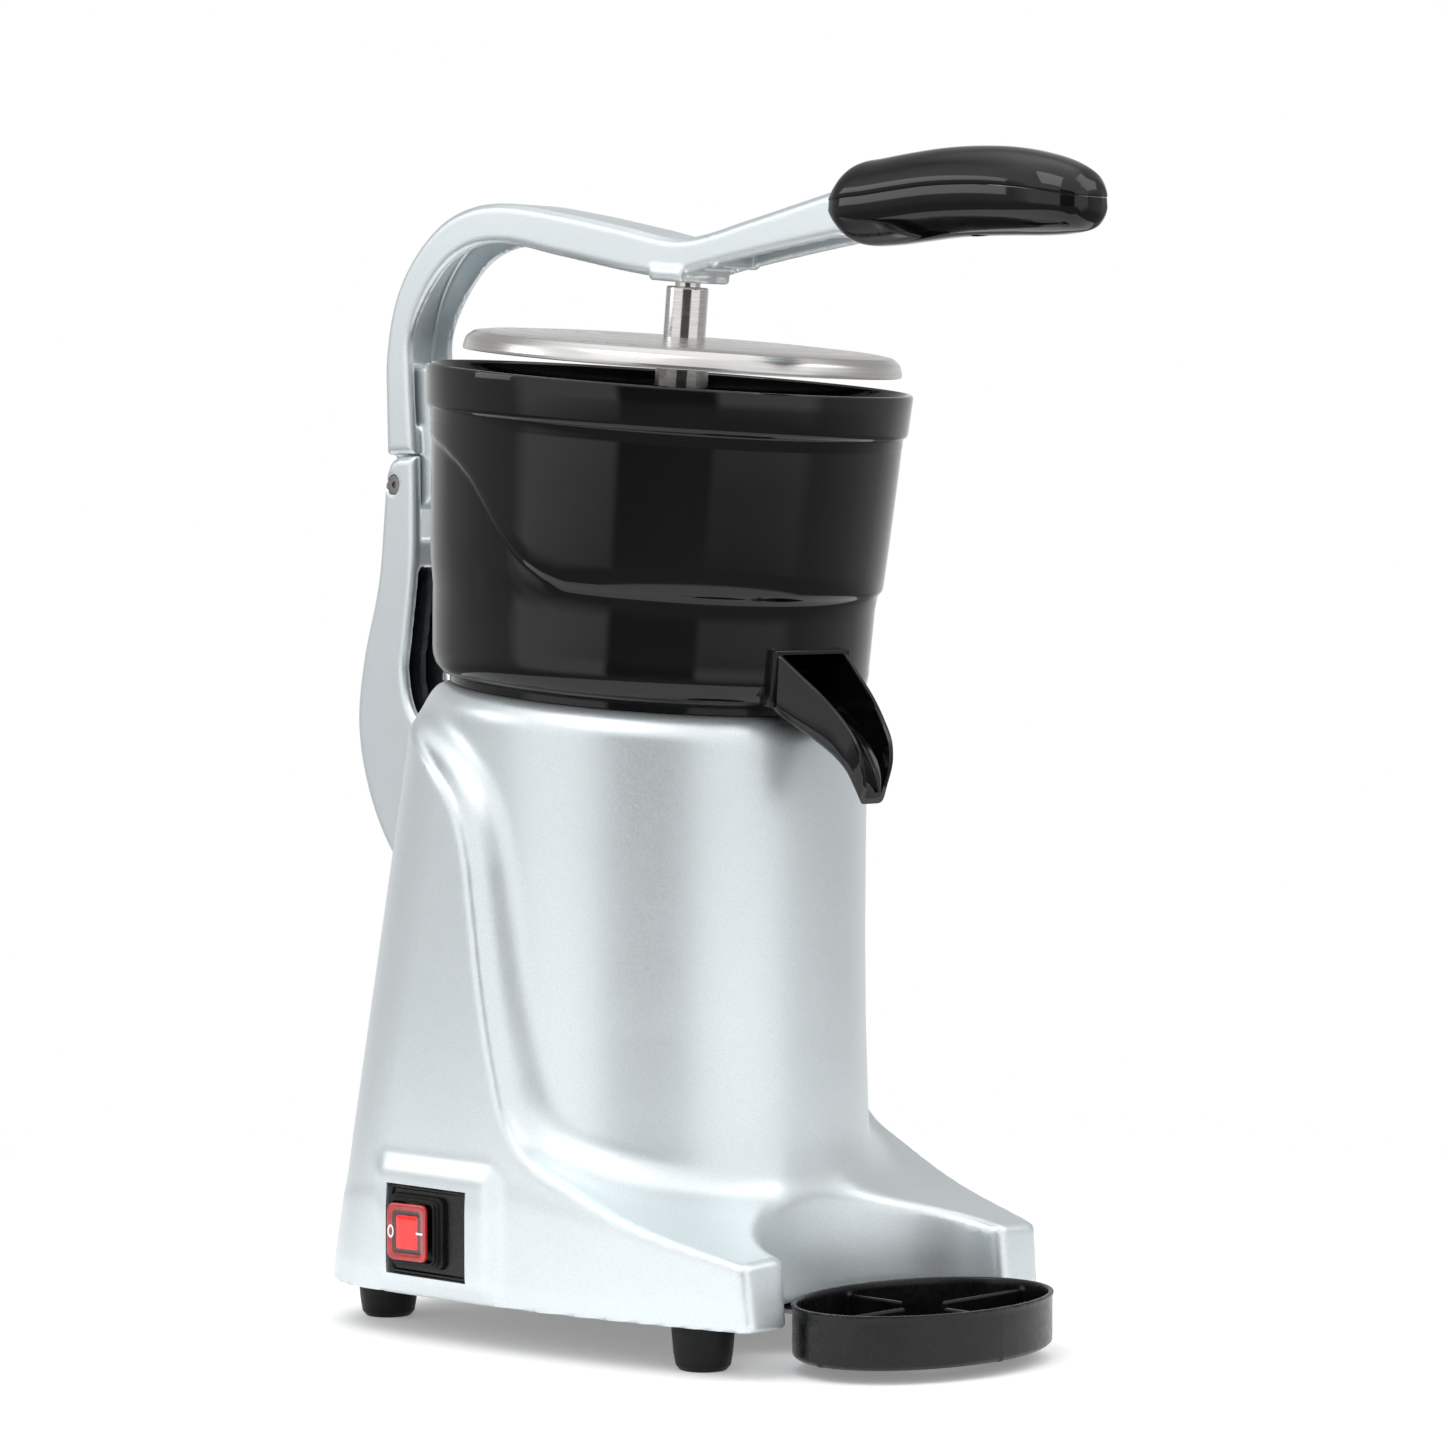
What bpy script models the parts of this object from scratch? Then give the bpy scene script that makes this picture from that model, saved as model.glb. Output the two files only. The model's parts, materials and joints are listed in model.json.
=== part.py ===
"""A lever citrus press: a motor turns the reamer, and a hinged arm presses the fruit onto it.

Sizes are in millimetres and become Blender's metres in the helpers below. The machine stands
on z = 0, its spout, tray and lever point to -Y, and its switch is on the -X side. The bowl
section leans forward, so the bowl, drive, press shaft and lid are placed under the empty
head_axis, whose z = 0 is the plane of the bowl's rim.
"""

from math import cos, degrees, pi, radians, sin, sqrt, tan

import bmesh
import bpy
from mathutils import Matrix, Vector

MM = 0.001
GAP = 0.3  # left between pieces that touch
CORNER = "corner"  # marks a sharp point in an outline

# Frame
RIM_HEIGHT = 373.0  # centre of the bowl's rim above the table
CENTRE_SHIFT = 21.6  # puts the middle of the whole machine on y = 0
SIDE_SHIFT = 4.5  # and on x = 0, as the rocker stands out on one side
LEAN = 5.63  # degrees that the head leans forward
DRIVE_Y = -6.2  # the drive and press axis lies this far ahead of the bowl's axis

# Housing
COLUMN_RADIUS = 86.0
COLUMN_Y = 12.0
WALL = 3.5
HEAD_TOP = -124.0  # top face of the housing, measured along the leaning axis
HALF_WIDTH = 99.8
PRONG_HALF_WIDTH = 81.4
PRONG_FRONT = -118.3
REAR_CORNER = 62.0
SKIRT_FRONT = -354.2
SKIRT_REAR = -355.6
NOTCH_RADII = (58.8, 40.0)
NOTCH_Y = -118.8
REAR_LEAN = 10.4  # degrees of the rear face
REAR_AT = (89.2, -189.0)  # one point of the rear face

# Base
PLATE_LOW = 22.0  # underside of the base plate above the table
PLATE_THICK = 2.0
FOOT_AT = {"fl": (-66, -83.4), "fr": (66, -83.4), "rl": (-60.5, 99), "rr": (60.5, 99)}
FOOT_TOP_RADIUS = 12.5
FOOT_LOW_RADIUS = 9.8

# Bowl
RIM_RADIUS = 95.0
BOWL_WALL = 2.6
BOWL_FLOOR = -116.0
SPOUT_HALF_WIDTH = 19.7
CHIMNEY_RADIUS = 12.0

# Press
ARM_HALF_WIDTH = 13.0
ARM_WEB = 3.5
TONGUE_HALF_WIDTH = 8.0
PIN_AT = (149.0, -40.6)
PIN_RADIUS = 4.0
SHAFT_RADIUS = 8.3
LID_RADIUS = 85.0
LID_LOW = 6.5
CUP_RADIUS = 47.0

# Drive
SPINDLE_RADIUS = 6.0
MOTOR_RADIUS = 50.0
MOTOR_TOP = -129.0
ROTOR_RADIUS = 26.0

# Switch
SWITCH_AT = (30.4, -329.4)
SWITCH_SIZE = (45.0, 35.0)
SWITCH_FACE = -100.9  # the bezel's front, a little inside its boss on the left wall
BOSS_LOW = (-102.3, -4.6, -351.4)
BOSS_HIGH = (-95.3, 60.0, -304.0)

# Tray
TRAY_Y = -134.5
TRAY_RADII = (59.0, 40.7)
TRAY_HEIGHT = 20.7
TRAY_LOW = 5.0  # the tray hangs this far above the table

ROUND_SIDES = 36
SMALL_SIDES = 12

PAINT = ("silver_paint", (0.60, 0.62, 0.64), 0.38, 0.75)
BLACK_GLOSS = ("black_gloss_plastic", (0.012, 0.012, 0.013), 0.12, 0.0)
BLACK_SATIN = ("black_satin_plastic", (0.02, 0.02, 0.021), 0.35, 0.0)
BLACK_RUBBER = ("black_rubber", (0.02, 0.02, 0.02), 0.75, 0.0)
STEEL = ("brushed_steel", (0.62, 0.60, 0.58), 0.28, 1.0)
DARK_STEEL = ("dark_steel", (0.25, 0.25, 0.26), 0.4, 1.0)
ALUMINIUM = ("cast_aluminium", (0.62, 0.63, 0.64), 0.45, 1.0)
COPPER = ("copper_winding", (0.55, 0.24, 0.12), 0.4, 1.0)
RED_LENS = ("red_lens", (0.55, 0.01, 0.01), 0.15, 0.0)
WHITE_PLASTIC = ("white_plastic", (0.75, 0.75, 0.72), 0.4, 0.0)


def clear_scene():
    for old in list(bpy.data.objects):
        bpy.data.objects.remove(old, do_unlink=True)


def new_collection(name):
    collection = bpy.data.collections.new(name)
    bpy.context.scene.collection.children.link(collection)
    return collection


clear_scene()
PARTS = new_collection("citrus_press_juicer")
CUTTERS = new_collection("cutters")


# ---------------------------------------------------------------- helpers


def new_empty(name, at, lean=0.0, parent=None):
    empty = bpy.data.objects.new(name, None)
    empty.empty_display_size = 0.02
    empty.location = Vector(at) * MM
    empty.rotation_euler = (radians(lean), 0, 0)
    empty.parent = parent
    PARTS.objects.link(empty)
    return empty


def material(spec):
    name, colour, roughness, metallic = spec
    found = bpy.data.materials.get(name)
    if found:
        return found
    made = bpy.data.materials.new(name)
    made.use_nodes = True
    shader = made.node_tree.nodes["Principled BSDF"]
    shader.inputs["Base Color"].default_value = (*colour, 1)
    shader.inputs["Roughness"].default_value = roughness
    shader.inputs["Metallic"].default_value = metallic
    return made


def add_object(name, data, at, parent, spec, turn=(0, 0, 0)):
    """Puts mesh or curve data in the scene; with no material it becomes a hidden cutter."""
    obj = bpy.data.objects.new(name, data)
    obj.location = Vector(at) * MM
    obj.rotation_euler = [radians(a) for a in turn]
    obj.parent = parent
    if spec is None:
        CUTTERS.objects.link(obj)
        obj.hide_render = True
        obj.display_type = "WIRE"
    else:
        PARTS.objects.link(obj)
        data.materials.append(material(spec))
    return obj


def from_bmesh(name, bm, at, parent, spec, turn=(0, 0, 0)):
    mesh = bpy.data.meshes.new(name)
    bm.to_mesh(mesh)
    bm.free()
    return add_object(name, mesh, at, parent, spec, turn)


def box(name, size, at, parent, spec=None, turn=(0, 0, 0)):
    """A box with its middle at the given place."""
    bm = bmesh.new()
    bmesh.ops.create_cube(bm, size=1)
    bmesh.ops.scale(bm, vec=Vector(size) * MM, verts=bm.verts)
    return from_bmesh(name, bm, at, parent, spec, turn)


def rod(name, radius, low, high, at, parent, spec=None, turn=(0, 0, 0), sides=None, top=None):
    """A cylinder or cone from low to high on its own Z axis."""
    bm = bmesh.new()
    place = Matrix.Translation((0, 0, (low + high) / 2 * MM))
    bmesh.ops.create_cone(
        bm, cap_ends=True, segments=sides or ROUND_SIDES, radius1=radius * MM,
        radius2=(radius if top is None else top) * MM, depth=(high - low) * MM, matrix=place,
    )
    return from_bmesh(name, bm, at, parent, spec, turn)


def turned(name, profile, at, parent, spec=None, steps=None, turn=(0, 0, 0), closed=False):
    """Turns a profile of (radius, height) points, which runs down its outer side."""
    bm = bmesh.new()
    points = [bm.verts.new((r * MM, 0, h * MM)) for r, h in profile]
    for first, second in zip(points, points[1:]):
        bm.edges.new((first, second))
    if closed:
        bm.edges.new((points[-1], points[0]))
    obj = from_bmesh(name, bm, at, parent, spec, turn)
    screw = obj.modifiers.new("Screw", "SCREW")
    screw.steps = screw.render_steps = steps or ROUND_SIDES
    screw.use_merge_vertices = True
    screw.merge_threshold = 0.00001
    return obj


def outline(name, points, half, at, parent, spec=None, turn=(0, 0, 0), smooth=True, detail=3):
    """A flat outline with thickness, made a mesh; points marked CORNER stay sharp."""
    curve = bpy.data.curves.new(name, "CURVE")
    curve.dimensions = "2D"
    curve.fill_mode = "BOTH"
    curve.extrude = half * MM
    curve.resolution_u = detail
    spline = curve.splines.new("BEZIER")
    spline.bezier_points.add(len(points) - 1)
    spline.use_cyclic_u = True
    for knot, point in zip(spline.bezier_points, points):
        knot.co = (point[0] * MM, point[1] * MM, 0)
        kind = "VECTOR" if CORNER in point or not smooth else "AUTO"
        knot.handle_left_type = knot.handle_right_type = kind
    flat = add_object(name + "_curve", curve, at, parent, None, turn)
    bpy.context.view_layer.update()
    graph = bpy.context.evaluated_depsgraph_get()
    mesh = bpy.data.meshes.new_from_object(flat.evaluated_get(graph))
    bpy.data.objects.remove(flat)
    bpy.data.curves.remove(curve)
    mesh.name = name
    bm = bmesh.new()
    bm.from_mesh(mesh)
    bmesh.ops.remove_doubles(bm, verts=bm.verts, dist=0.000001)
    bm.to_mesh(mesh)
    bm.free()
    mesh.materials.clear()
    return add_object(name, mesh, at, parent, spec, turn)


SIDEWAYS = (90, 0, 90)  # turns an outline so that its points are (y, z) and its thickness is along X


def side_outline(name, points, half, parent, spec=None, detail=3, at=(0, 0, 0)):
    return outline(name, points, half, at, parent, spec, SIDEWAYS, detail=detail)


def loft(name, rings, at, parent, spec=None):
    """Skins a list of rings, each a list of (x, y, z) points of the same count."""
    bm = bmesh.new()
    rows = [[bm.verts.new(Vector(p) * MM) for p in ring] for ring in rings]
    count = len(rows[0])
    for low, high in zip(rows, rows[1:]):
        for i in range(count):
            j = (i + 1) % count
            bm.faces.new((low[i], low[j], high[j], high[i]))
    bm.faces.new(rows[0])
    bm.faces.new(rows[-1])
    bmesh.ops.recalc_face_normals(bm, faces=bm.faces)
    return from_bmesh(name, bm, at, parent, spec)


def boolean(obj, other, operation):
    step = obj.modifiers.new(other.name, "BOOLEAN")
    step.object = other
    step.operation = operation
    step.solver = "EXACT"
    return obj


def cut(obj, *others):
    for other in others:
        boolean(obj, other, "DIFFERENCE")
    return obj


def join(obj, *others):
    for other in others:
        boolean(obj, other, "UNION")
    return obj


def ellipse(radii, at, count=ROUND_SIDES, start=0.0, end=2 * pi):
    """Points of an ellipse or of an arc of it, anticlockwise."""
    full = end - start > 2 * pi - 0.001
    last = count if full else count - 1
    angles = [start + (end - start) * i / last for i in range(count)]
    return [(at[0] + radii[0] * cos(a), at[1] + radii[1] * sin(a)) for a in angles]


def rear_y(z):
    """Where the housing's sloping rear face is at a height."""
    return REAR_AT[0] + (REAR_AT[1] - z) * tan(radians(REAR_LEAN))


OUT_OF_REAR = (REAR_LEAN - 90, 0, 0)  # turns a piece's Z axis out of the rear face


def on_rear(x, z, depth=0.0):
    """A place on the rear face, or that far inside it."""
    lean = radians(REAR_LEAN)
    return (x, rear_y(z) - depth * cos(lean), z - depth * sin(lean))


def screw_with_head(name, radius, length, head_radius, head, at, parent, turn=(0, 0, 0)):
    """A pan-head screw whose head sits on z = 0 and whose shank points down."""
    profile = [
        (0, head), (head_radius * 0.75, head), (head_radius, head * 0.6), (head_radius, 0),
        (radius, 0), (radius, -length + radius * 0.5), (radius * 0.6, -length), (0, -length),
    ]
    screw = turned(name, profile, at, parent, DARK_STEEL, steps=SMALL_SIDES, turn=turn)
    socket = rod(name + "_socket", head_radius * 0.45, head * 0.4, head + 2, at, parent,
                 turn=turn, sides=6)
    return cut(screw, socket)


MACHINE = new_empty("machine", (SIDE_SHIFT, CENTRE_SHIFT, RIM_HEIGHT))
HEAD = new_empty("head_axis", (0, 0, 0), LEAN, MACHINE)
DRIVE = new_empty("drive_axis", (0, DRIVE_Y, 0), 0, HEAD)
LEVER = new_empty("lever_axis", (0, *PIN_AT), 0, MACHINE)
LID = new_empty("lid_axis", (0, DRIVE_Y, 0), 0, HEAD)
TRAY = new_empty("tray_axis", (0, TRAY_Y, TRAY_LOW - RIM_HEIGHT), 0, MACHINE)


def from_pin(points):
    """Moves (y, z) points of the machine to the lever's axis."""
    return [(p[0] - PIN_AT[0], p[1] - PIN_AT[1], *p[2:]) for p in points]


# ---------------------------------------------------------------- housing


def mirrored(right):
    """A closed outline from its right half, listed from the front to the rear."""
    return right + [(-p[0], *p[1:]) for p in reversed(right)]


def side_walls(name, inset, half, z, spec=None):
    """A prism between the bulging side walls and behind the square front."""
    points = mirrored([
        (PRONG_HALF_WIDTH - inset, PRONG_FRONT + inset, CORNER), (88.6 - inset, -86),
        (92.8 - inset, -60), (96.6 - inset, -36), (99.0 - inset, -12), (HALF_WIDTH - inset, 15),
        (HALF_WIDTH - inset, 60), (HALF_WIDTH - inset, 150, CORNER),
    ])
    return outline(name, points, half, (0, 0, z), MACHINE, spec)


def rear_corners(name, inset):
    """A prism that leans with the rear face and rounds the corners beside it."""
    corner = REAR_CORNER - inset
    arc = ellipse((corner, corner), (HALF_WIDTH - REAR_CORNER, -REAR_CORNER), 10, 0, pi / 2)
    points = mirrored([(115, -320, CORNER), (115, -75, CORNER)] + [(*p, CORNER) for p in arc])
    return outline(name, points, 300, (0, *REAR_AT), MACHINE, turn=(REAR_LEAN, 0, 0))


def flank_profile(inset):
    """The base block from the side: the sweeping top edge, the front and the sloping rear."""
    low = SKIRT_REAR - 30 if inset else SKIRT_REAR
    low_front = SKIRT_FRONT - 30 if inset else SKIRT_FRONT
    return [
        (PRONG_FRONT + inset - 2, low_front, CORNER),
        (PRONG_FRONT + inset, -330.2 - inset, CORNER),
        (-92, -324 - inset),
        (-56, -312.2 - inset),
        (-28 + inset * 0.3, -300.4 - inset),
        (-12.5 + inset * 0.8, -289 - inset * 0.6),
        (-4 + inset, -269),
        (2.2 + inset, -238),
        (8 + inset, -200.4),
        (13 + inset, -174),
        (23 + inset * 0.8, -156 - inset * 0.6),
        (44 + inset * 0.5, -140.5 - inset * 0.8),
        (64 + inset * 0.3, -133.5 - inset),
        (rear_y(low) + 5, -129.5 - inset, CORNER),
        (rear_y(low) + 5, low, CORNER),
    ]


def housing_solid(name, inset, spec):
    """The housing as a filled shape, shrunk by inset."""
    shell = side_outline(name, flank_profile(inset), 115, MACHINE, spec)
    radius = COLUMN_RADIUS - inset
    flare = [(0, -100), (radius, -100), (radius, -292), (radius + 1.5, -306), (radius + 5, -314.5),
             (radius + 12, -320.5), (radius + 26, -326 - inset), (0, -326 - inset)]
    join(shell, turned(name + "_column", flare, (0, COLUMN_Y, 0), MACHINE, steps=54))
    boolean(shell, side_walls(name + "_walls", inset, 200, -250), "INTERSECT")
    boolean(shell, rear_corners(name + "_rear", inset), "INTERSECT")
    lean_box = box(name + "_top", (260, 400, 60), (0, 0, HEAD_TOP - inset + 30), HEAD)
    notch = outline(name + "_notch", ellipse([r + inset for r in NOTCH_RADII], (0, NOTCH_Y), 40),
                    60, (0, 0, -345), MACHINE, smooth=False)
    return cut(shell, lean_box, notch)


def housing():
    shell = housing_solid("housing", 0, PAINT)
    cut(shell, housing_solid("housing_inside", WALL, None))
    cut(shell, rod("spindle_opening", 20, HEAD_TOP - 10, HEAD_TOP + 10, (0, 0, 0), DRIVE))
    for i, place in enumerate(motor_bolt_places()):
        cut(shell, rod(f"motor_bolt_hole_{i}", 2.6, HEAD_TOP - 10, HEAD_TOP + 10, place, DRIVE,
                       sides=SMALL_SIDES))
    boss_size = [high - low for low, high in zip(BOSS_LOW, BOSS_HIGH)]
    boss_middle = [(low + high) / 2 for low, high in zip(BOSS_LOW, BOSS_HIGH)]
    join(shell, box("switch_boss", boss_size, boss_middle, MACHINE))
    cut(shell, box("switch_opening", (30, SWITCH_SIZE[0], SWITCH_SIZE[1]),
                   (-HALF_WIDTH, *SWITCH_AT), MACHINE))
    for foot_name in ("rl", "rr"):
        relief = (*FOOT_AT[foot_name], PLATE_LOW - RIM_HEIGHT)
        cut(shell, rod("foot_relief_" + foot_name, FOOT_TOP_RADIUS + 0.6, -15, 0.5, relief, MACHINE))
    for name, z in POST_BOLT_HEIGHTS.items():
        cut(shell, rod("hole_" + name, 3.3, -12, 12, on_rear(0, z), MACHINE, turn=OUT_OF_REAR,
                       sides=SMALL_SIDES))
    cut(shell, rod("gland_hole", 6.3, -12, 12, on_rear(*GLAND_AT), MACHINE, turn=OUT_OF_REAR,
                   sides=24))
    return shell


def base_plate():
    inset = WALL + 1.2
    middle = PLATE_LOW + PLATE_THICK / 2 - RIM_HEIGHT
    plate = side_walls("base_plate", inset, PLATE_THICK / 2, middle, DARK_STEEL)
    boolean(plate, rear_corners("plate_rear", inset), "INTERSECT")
    cut(plate, box("plate_switch_room", (20, 70, 20), (-HALF_WIDTH, SWITCH_AT[0], middle),
                   MACHINE))
    notch = outline("plate_notch", ellipse([r + inset for r in NOTCH_RADII], (0, NOTCH_Y), 40),
                    20, (0, 0, middle), MACHINE, smooth=False)
    cut(plate, notch)
    bracket_holes = {"left": (-9, -52), "right": (9, -52)}
    for name, (x, y) in {**FOOT_AT, **bracket_holes}.items():
        cut(plate, rod("plate_hole_" + name, 2.4, -10, 10, (x, y, middle), MACHINE,
                       sides=SMALL_SIDES))
    return plate


def foot(name, x, y):
    """A rubber foot with a counterbore for its screw."""
    top = PLATE_LOW - GAP
    profile = [
        (2.6, top), (FOOT_TOP_RADIUS, top), (FOOT_LOW_RADIUS + 0.4, 1.5), (FOOT_LOW_RADIUS - 1, 0),
        (5.5, 0), (5.5, 9), (2.6, 9),
    ]
    turned("foot_" + name, profile, (x, y, -RIM_HEIGHT), MACHINE, BLACK_RUBBER, steps=24,
           closed=True)
    screw_with_head("foot_screw_" + name, 2.0, 16, 4.2, 3, (x, y, 9 - GAP - RIM_HEIGHT),
                    MACHINE, turn=(180, 0, 0))


# ---------------------------------------------------------------- rear post and lever

POST_BOLT_HEIGHTS = {"post_bolt_upper": -172.0, "post_bolt_lower": -205.0}


def rear_post():
    top = -28.6
    foot_top, foot_low = -152.0, -222.0
    profile = [
        (136.0, top, CORNER), (135.7, -47), (136.2, -72), (140.6, -104), (142.3, -117),
        (137, -134.5), (120, -146.5), (rear_y(foot_top) + GAP, foot_top, CORNER),
        (rear_y(foot_low) + GAP, foot_low, CORNER), (112, -220), (135, -208), (154.5, -188),
        (166.9, -163.7), (171.8, -139), (168.6, -114), (159.1, -80.7), (155.2, -47.7),
        (154.0, -38), (150.5, -31), (145.5, top, CORNER),
    ]
    post = side_outline("rear_post", profile, ARM_HALF_WIDTH, MACHINE, PAINT)
    slot = box("clevis_slot", (2 * TONGUE_HALF_WIDTH + 1.2, 60, 60), (0, 145, -34), MACHINE)
    channel = side_outline(
        "post_channel",
        [(120, -76, CORNER), (144, -76), (149, -84), (156, -104), (161, -122), (160, -138),
         (152, -150), (140, -146), (120, -132, CORNER)],
        ARM_HALF_WIDTH - 4, MACHINE)
    cut(post, slot, channel)
    cut(post, rod("post_pin_hole", PIN_RADIUS + GAP, -20, 20, (0, *PIN_AT), MACHINE,
                  turn=(0, 90, 0), sides=32))
    for name, z in POST_BOLT_HEIGHTS.items():
        cut(post, rod("thread_" + name, 3.3, -5, 18, on_rear(0, z), MACHINE, turn=OUT_OF_REAR,
                      sides=SMALL_SIDES))
        screw_with_head(name, 3.0, 20, 6, 4, on_rear(0, z, WALL + GAP), MACHINE,
                        turn=(90 + REAR_LEAN, 0, 0))
    return post


def hinge_pin():
    """The pin stays in the post; a short screw closes each end of its bore."""
    half = ARM_HALF_WIDTH - 3.4
    rod("hinge_pin", PIN_RADIUS, -half, half, (0, *PIN_AT), MACHINE, STEEL, turn=(0, 90, 0))
    for name, side in (("left", -1), ("right", 1)):
        at = (side * (half + GAP), *PIN_AT)
        grub = rod("pin_screw_" + name, PIN_RADIUS - 0.2, 0, 2.0, at, MACHINE, DARK_STEEL,
                   turn=(0, side * 90, 0), sides=SMALL_SIDES)
        cut(grub, rod(f"pin_screw_{name}_socket", 1.5, 1.0, 4, at, MACHINE,
                      turn=(0, side * 90, 0), sides=6))


ARM_TOP = [
    (152.6, -28.3, CORNER), (153.7, -10), (153.7, 12), (147.6, 36), (136.4, 52.3), (118.8, 65.8),
    (101, 71.2), (83.7, 71.8), (48.8, 66.6), (12, 59.2), (-14, 53.9), (-27, 54.1), (-51, 58.5),
    (-99, 67.8, CORNER),
]
ARM_LOW = [
    (-99, 49.9, CORNER), (-61.5, 45.5), (-29.3, 41.0), (-12, 38.3), (3.6, 40.1), (50.6, 49.2),
    (83.7, 55.4), (101.5, 54.5), (116.4, 48.3), (130.4, 34.5), (138.2, 20), (138.4, 6.2),
    (136.2, -28.3, CORNER),
]


def lever_arm():
    """A cast channel, open below, with a solid rear block, a tongue and a tang for the grip."""
    arm = side_outline("lever_arm", from_pin(ARM_TOP + ARM_LOW), ARM_HALF_WIDTH, LEVER, PAINT)
    rear_pocket = [
        (6, 30, CORNER), (9, 54.2, CORNER), (50, 61.5), (83.7, 66.5), (100, 65.8), (115, 61),
        (131, 48.5), (141, 33, CORNER), (128, 26, CORNER), (100, 30, CORNER),
    ]
    front_pocket = [(-96, 30, CORNER), (-96, 61.5, CORNER), (-44, 51.5, CORNER), (-40, 30, CORNER)]
    inner = ARM_HALF_WIDTH - ARM_WEB
    cut(arm, side_outline("arm_rear_pocket", from_pin(rear_pocket), inner, LEVER),
        side_outline("arm_front_pocket", from_pin(front_pocket), inner, LEVER))
    tongue = side_outline(
        "arm_tongue",
        from_pin([(130, 2, CORNER), (130, -42), (134, -48.5), (142, -50.5), (149, -49.6),
                  (152, -46), (153, -36), (152.4, -26), (150, 2, CORNER)]),
        TONGUE_HALF_WIDTH, LEVER)
    tang = side_outline(
        "arm_tang", from_pin([(-90, 51.5, CORNER), (-90, 65.2, CORNER), (-150, 70.5, CORNER),
                              (-150, 60.5, CORNER)]), 8, LEVER)
    boss = rod("arm_boss", 16, 36.5, 48, (0, 0, 0), DRIVE)
    join(arm, tongue, tang, boss)
    cut(arm, rod("arm_pin_hole", PIN_RADIUS + 0.08, -20, 20, (0, 0, 0), LEVER,
                 turn=(0, 90, 0), sides=ROUND_SIDES))
    cut(arm, rod("arm_stud_hole", 5.3, 30, 47, (0, 0, 0), DRIVE, sides=24))
    return arm


GRIP_STATIONS = [
    # distance forward, middle height, half width, half height
    (-95.5, 59.3, 13.6, 6.0), (-98.5, 60.2, 15.6, 13.0), (-105, 61.2, 16.8, 15.2),
    (-118, 62.0, 17.4, 16.9), (-134, 63.6, 17.6, 17.2), (-150, 64.5, 17.6, 17.1),
    (-166, 64.3, 17.6, 17.0), (-181, 63.4, 17.5, 16.4), (-194, 61.8, 17.2, 15.2),
    (-204, 60.2, 16.2, 13.6), (-211, 58.9, 13.4, 11.0), (-215, 58.3, 7.5, 6.2),
]
PARTING = 1.5  # the joint between the halves lies this far above the middle


def grip_half(name, upper):
    """Half of the grip: a rounded loft cut along its parting line and hollowed for the tang."""
    sides = 24
    rings = []
    for y, z, half_width, half_height in GRIP_STATIONS:
        ring = []
        for i in range(sides):
            a = 2 * pi * i / sides
            x = abs(cos(a)) ** 0.8 * (1 if cos(a) > 0 else -1)
            h = abs(sin(a)) ** 0.8 * (1 if sin(a) > 0 else -1)
            ring.append((half_width * x, y - PIN_AT[0], z + half_height * h - PIN_AT[1]))
        rings.append(ring)
    grip = loft(name, rings, (0, 0, 0), LEVER, BLACK_GLOSS)
    edge = GAP / 2 if upper else -GAP / 2
    joint = [(y, z + PARTING + edge) for y, z, *_ in GRIP_STATIONS]
    far = -60 if upper else 60
    joint = [(-60, joint[0][1], CORNER)] + joint[1:-1] + [(-260, joint[-1][1], CORNER)]
    cover = joint + [(-260, 60 + far, CORNER), (-60, 60 + far, CORNER)]
    cut(grip, side_outline(name + "_other_half", from_pin(cover), 40, LEVER, detail=2))
    tang_room = side_outline(
        name + "_tang_room",
        from_pin([(-80, 50.4, CORNER), (-80, 64.7, CORNER), (-99.5, 66.2, CORNER),
                  (-151, 71.2, CORNER), (-151, 59.9, CORNER), (-99.5, 52.1, CORNER)]),
        8.5, LEVER)
    neck_room = side_outline(
        name + "_neck_room",
        from_pin([(-80, 40, CORNER), (-80, 80, CORNER), (-99.4, 80, CORNER),
                  (-99.4, 40, CORNER)]), ARM_HALF_WIDTH + 0.4, LEVER)
    cut(grip, tang_room, neck_room)
    cut(grip, rod(name + "_screw_room", 2.3, -16.5, 8, GRIP_SCREW_AT, LEVER, sides=SMALL_SIDES))
    return grip


GRIP_SCREW_AT = (0, -163 - PIN_AT[0], 63.0 - PIN_AT[1])  # under the lever's axis


def grip():
    grip_half("grip_upper", True)
    lower = grip_half("grip_lower", False)
    cut(lower, rod("grip_screw_bore", 4.2, -30, -9, GRIP_SCREW_AT, LEVER, sides=SMALL_SIDES))
    screw_with_head("grip_screw", 2.0, 15, 3.6, 2.6,
                    (0, GRIP_SCREW_AT[1], GRIP_SCREW_AT[2] - 9 - GAP), LEVER, turn=(180, 0, 0))


def press_shaft():
    """The steel rod under the arm, with a stud in the arm's boss and a thinner end for the cup."""
    stud_top, boss_low, collar_top, cup_top = 46.0, 36.2, LID_LOW - GAP, -22.0
    profile = [
        (0, stud_top), (5, stud_top), (5, boss_low), (SHAFT_RADIUS, boss_low),
        (SHAFT_RADIUS, cup_top + GAP), (5, cup_top + GAP), (5, -29.5), (0, -29.5),
    ]
    turned("press_shaft", profile, (0, 0, 0), DRIVE, STEEL, steps=32)
    stop = [(SHAFT_RADIUS + GAP, collar_top), (10.4, collar_top), (10.4, collar_top - 9),
            (SHAFT_RADIUS + GAP, collar_top - 9)]
    turned("lid_stop_ring", stop, (0, 0, 0), DRIVE, STEEL, steps=32, closed=True)


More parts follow.
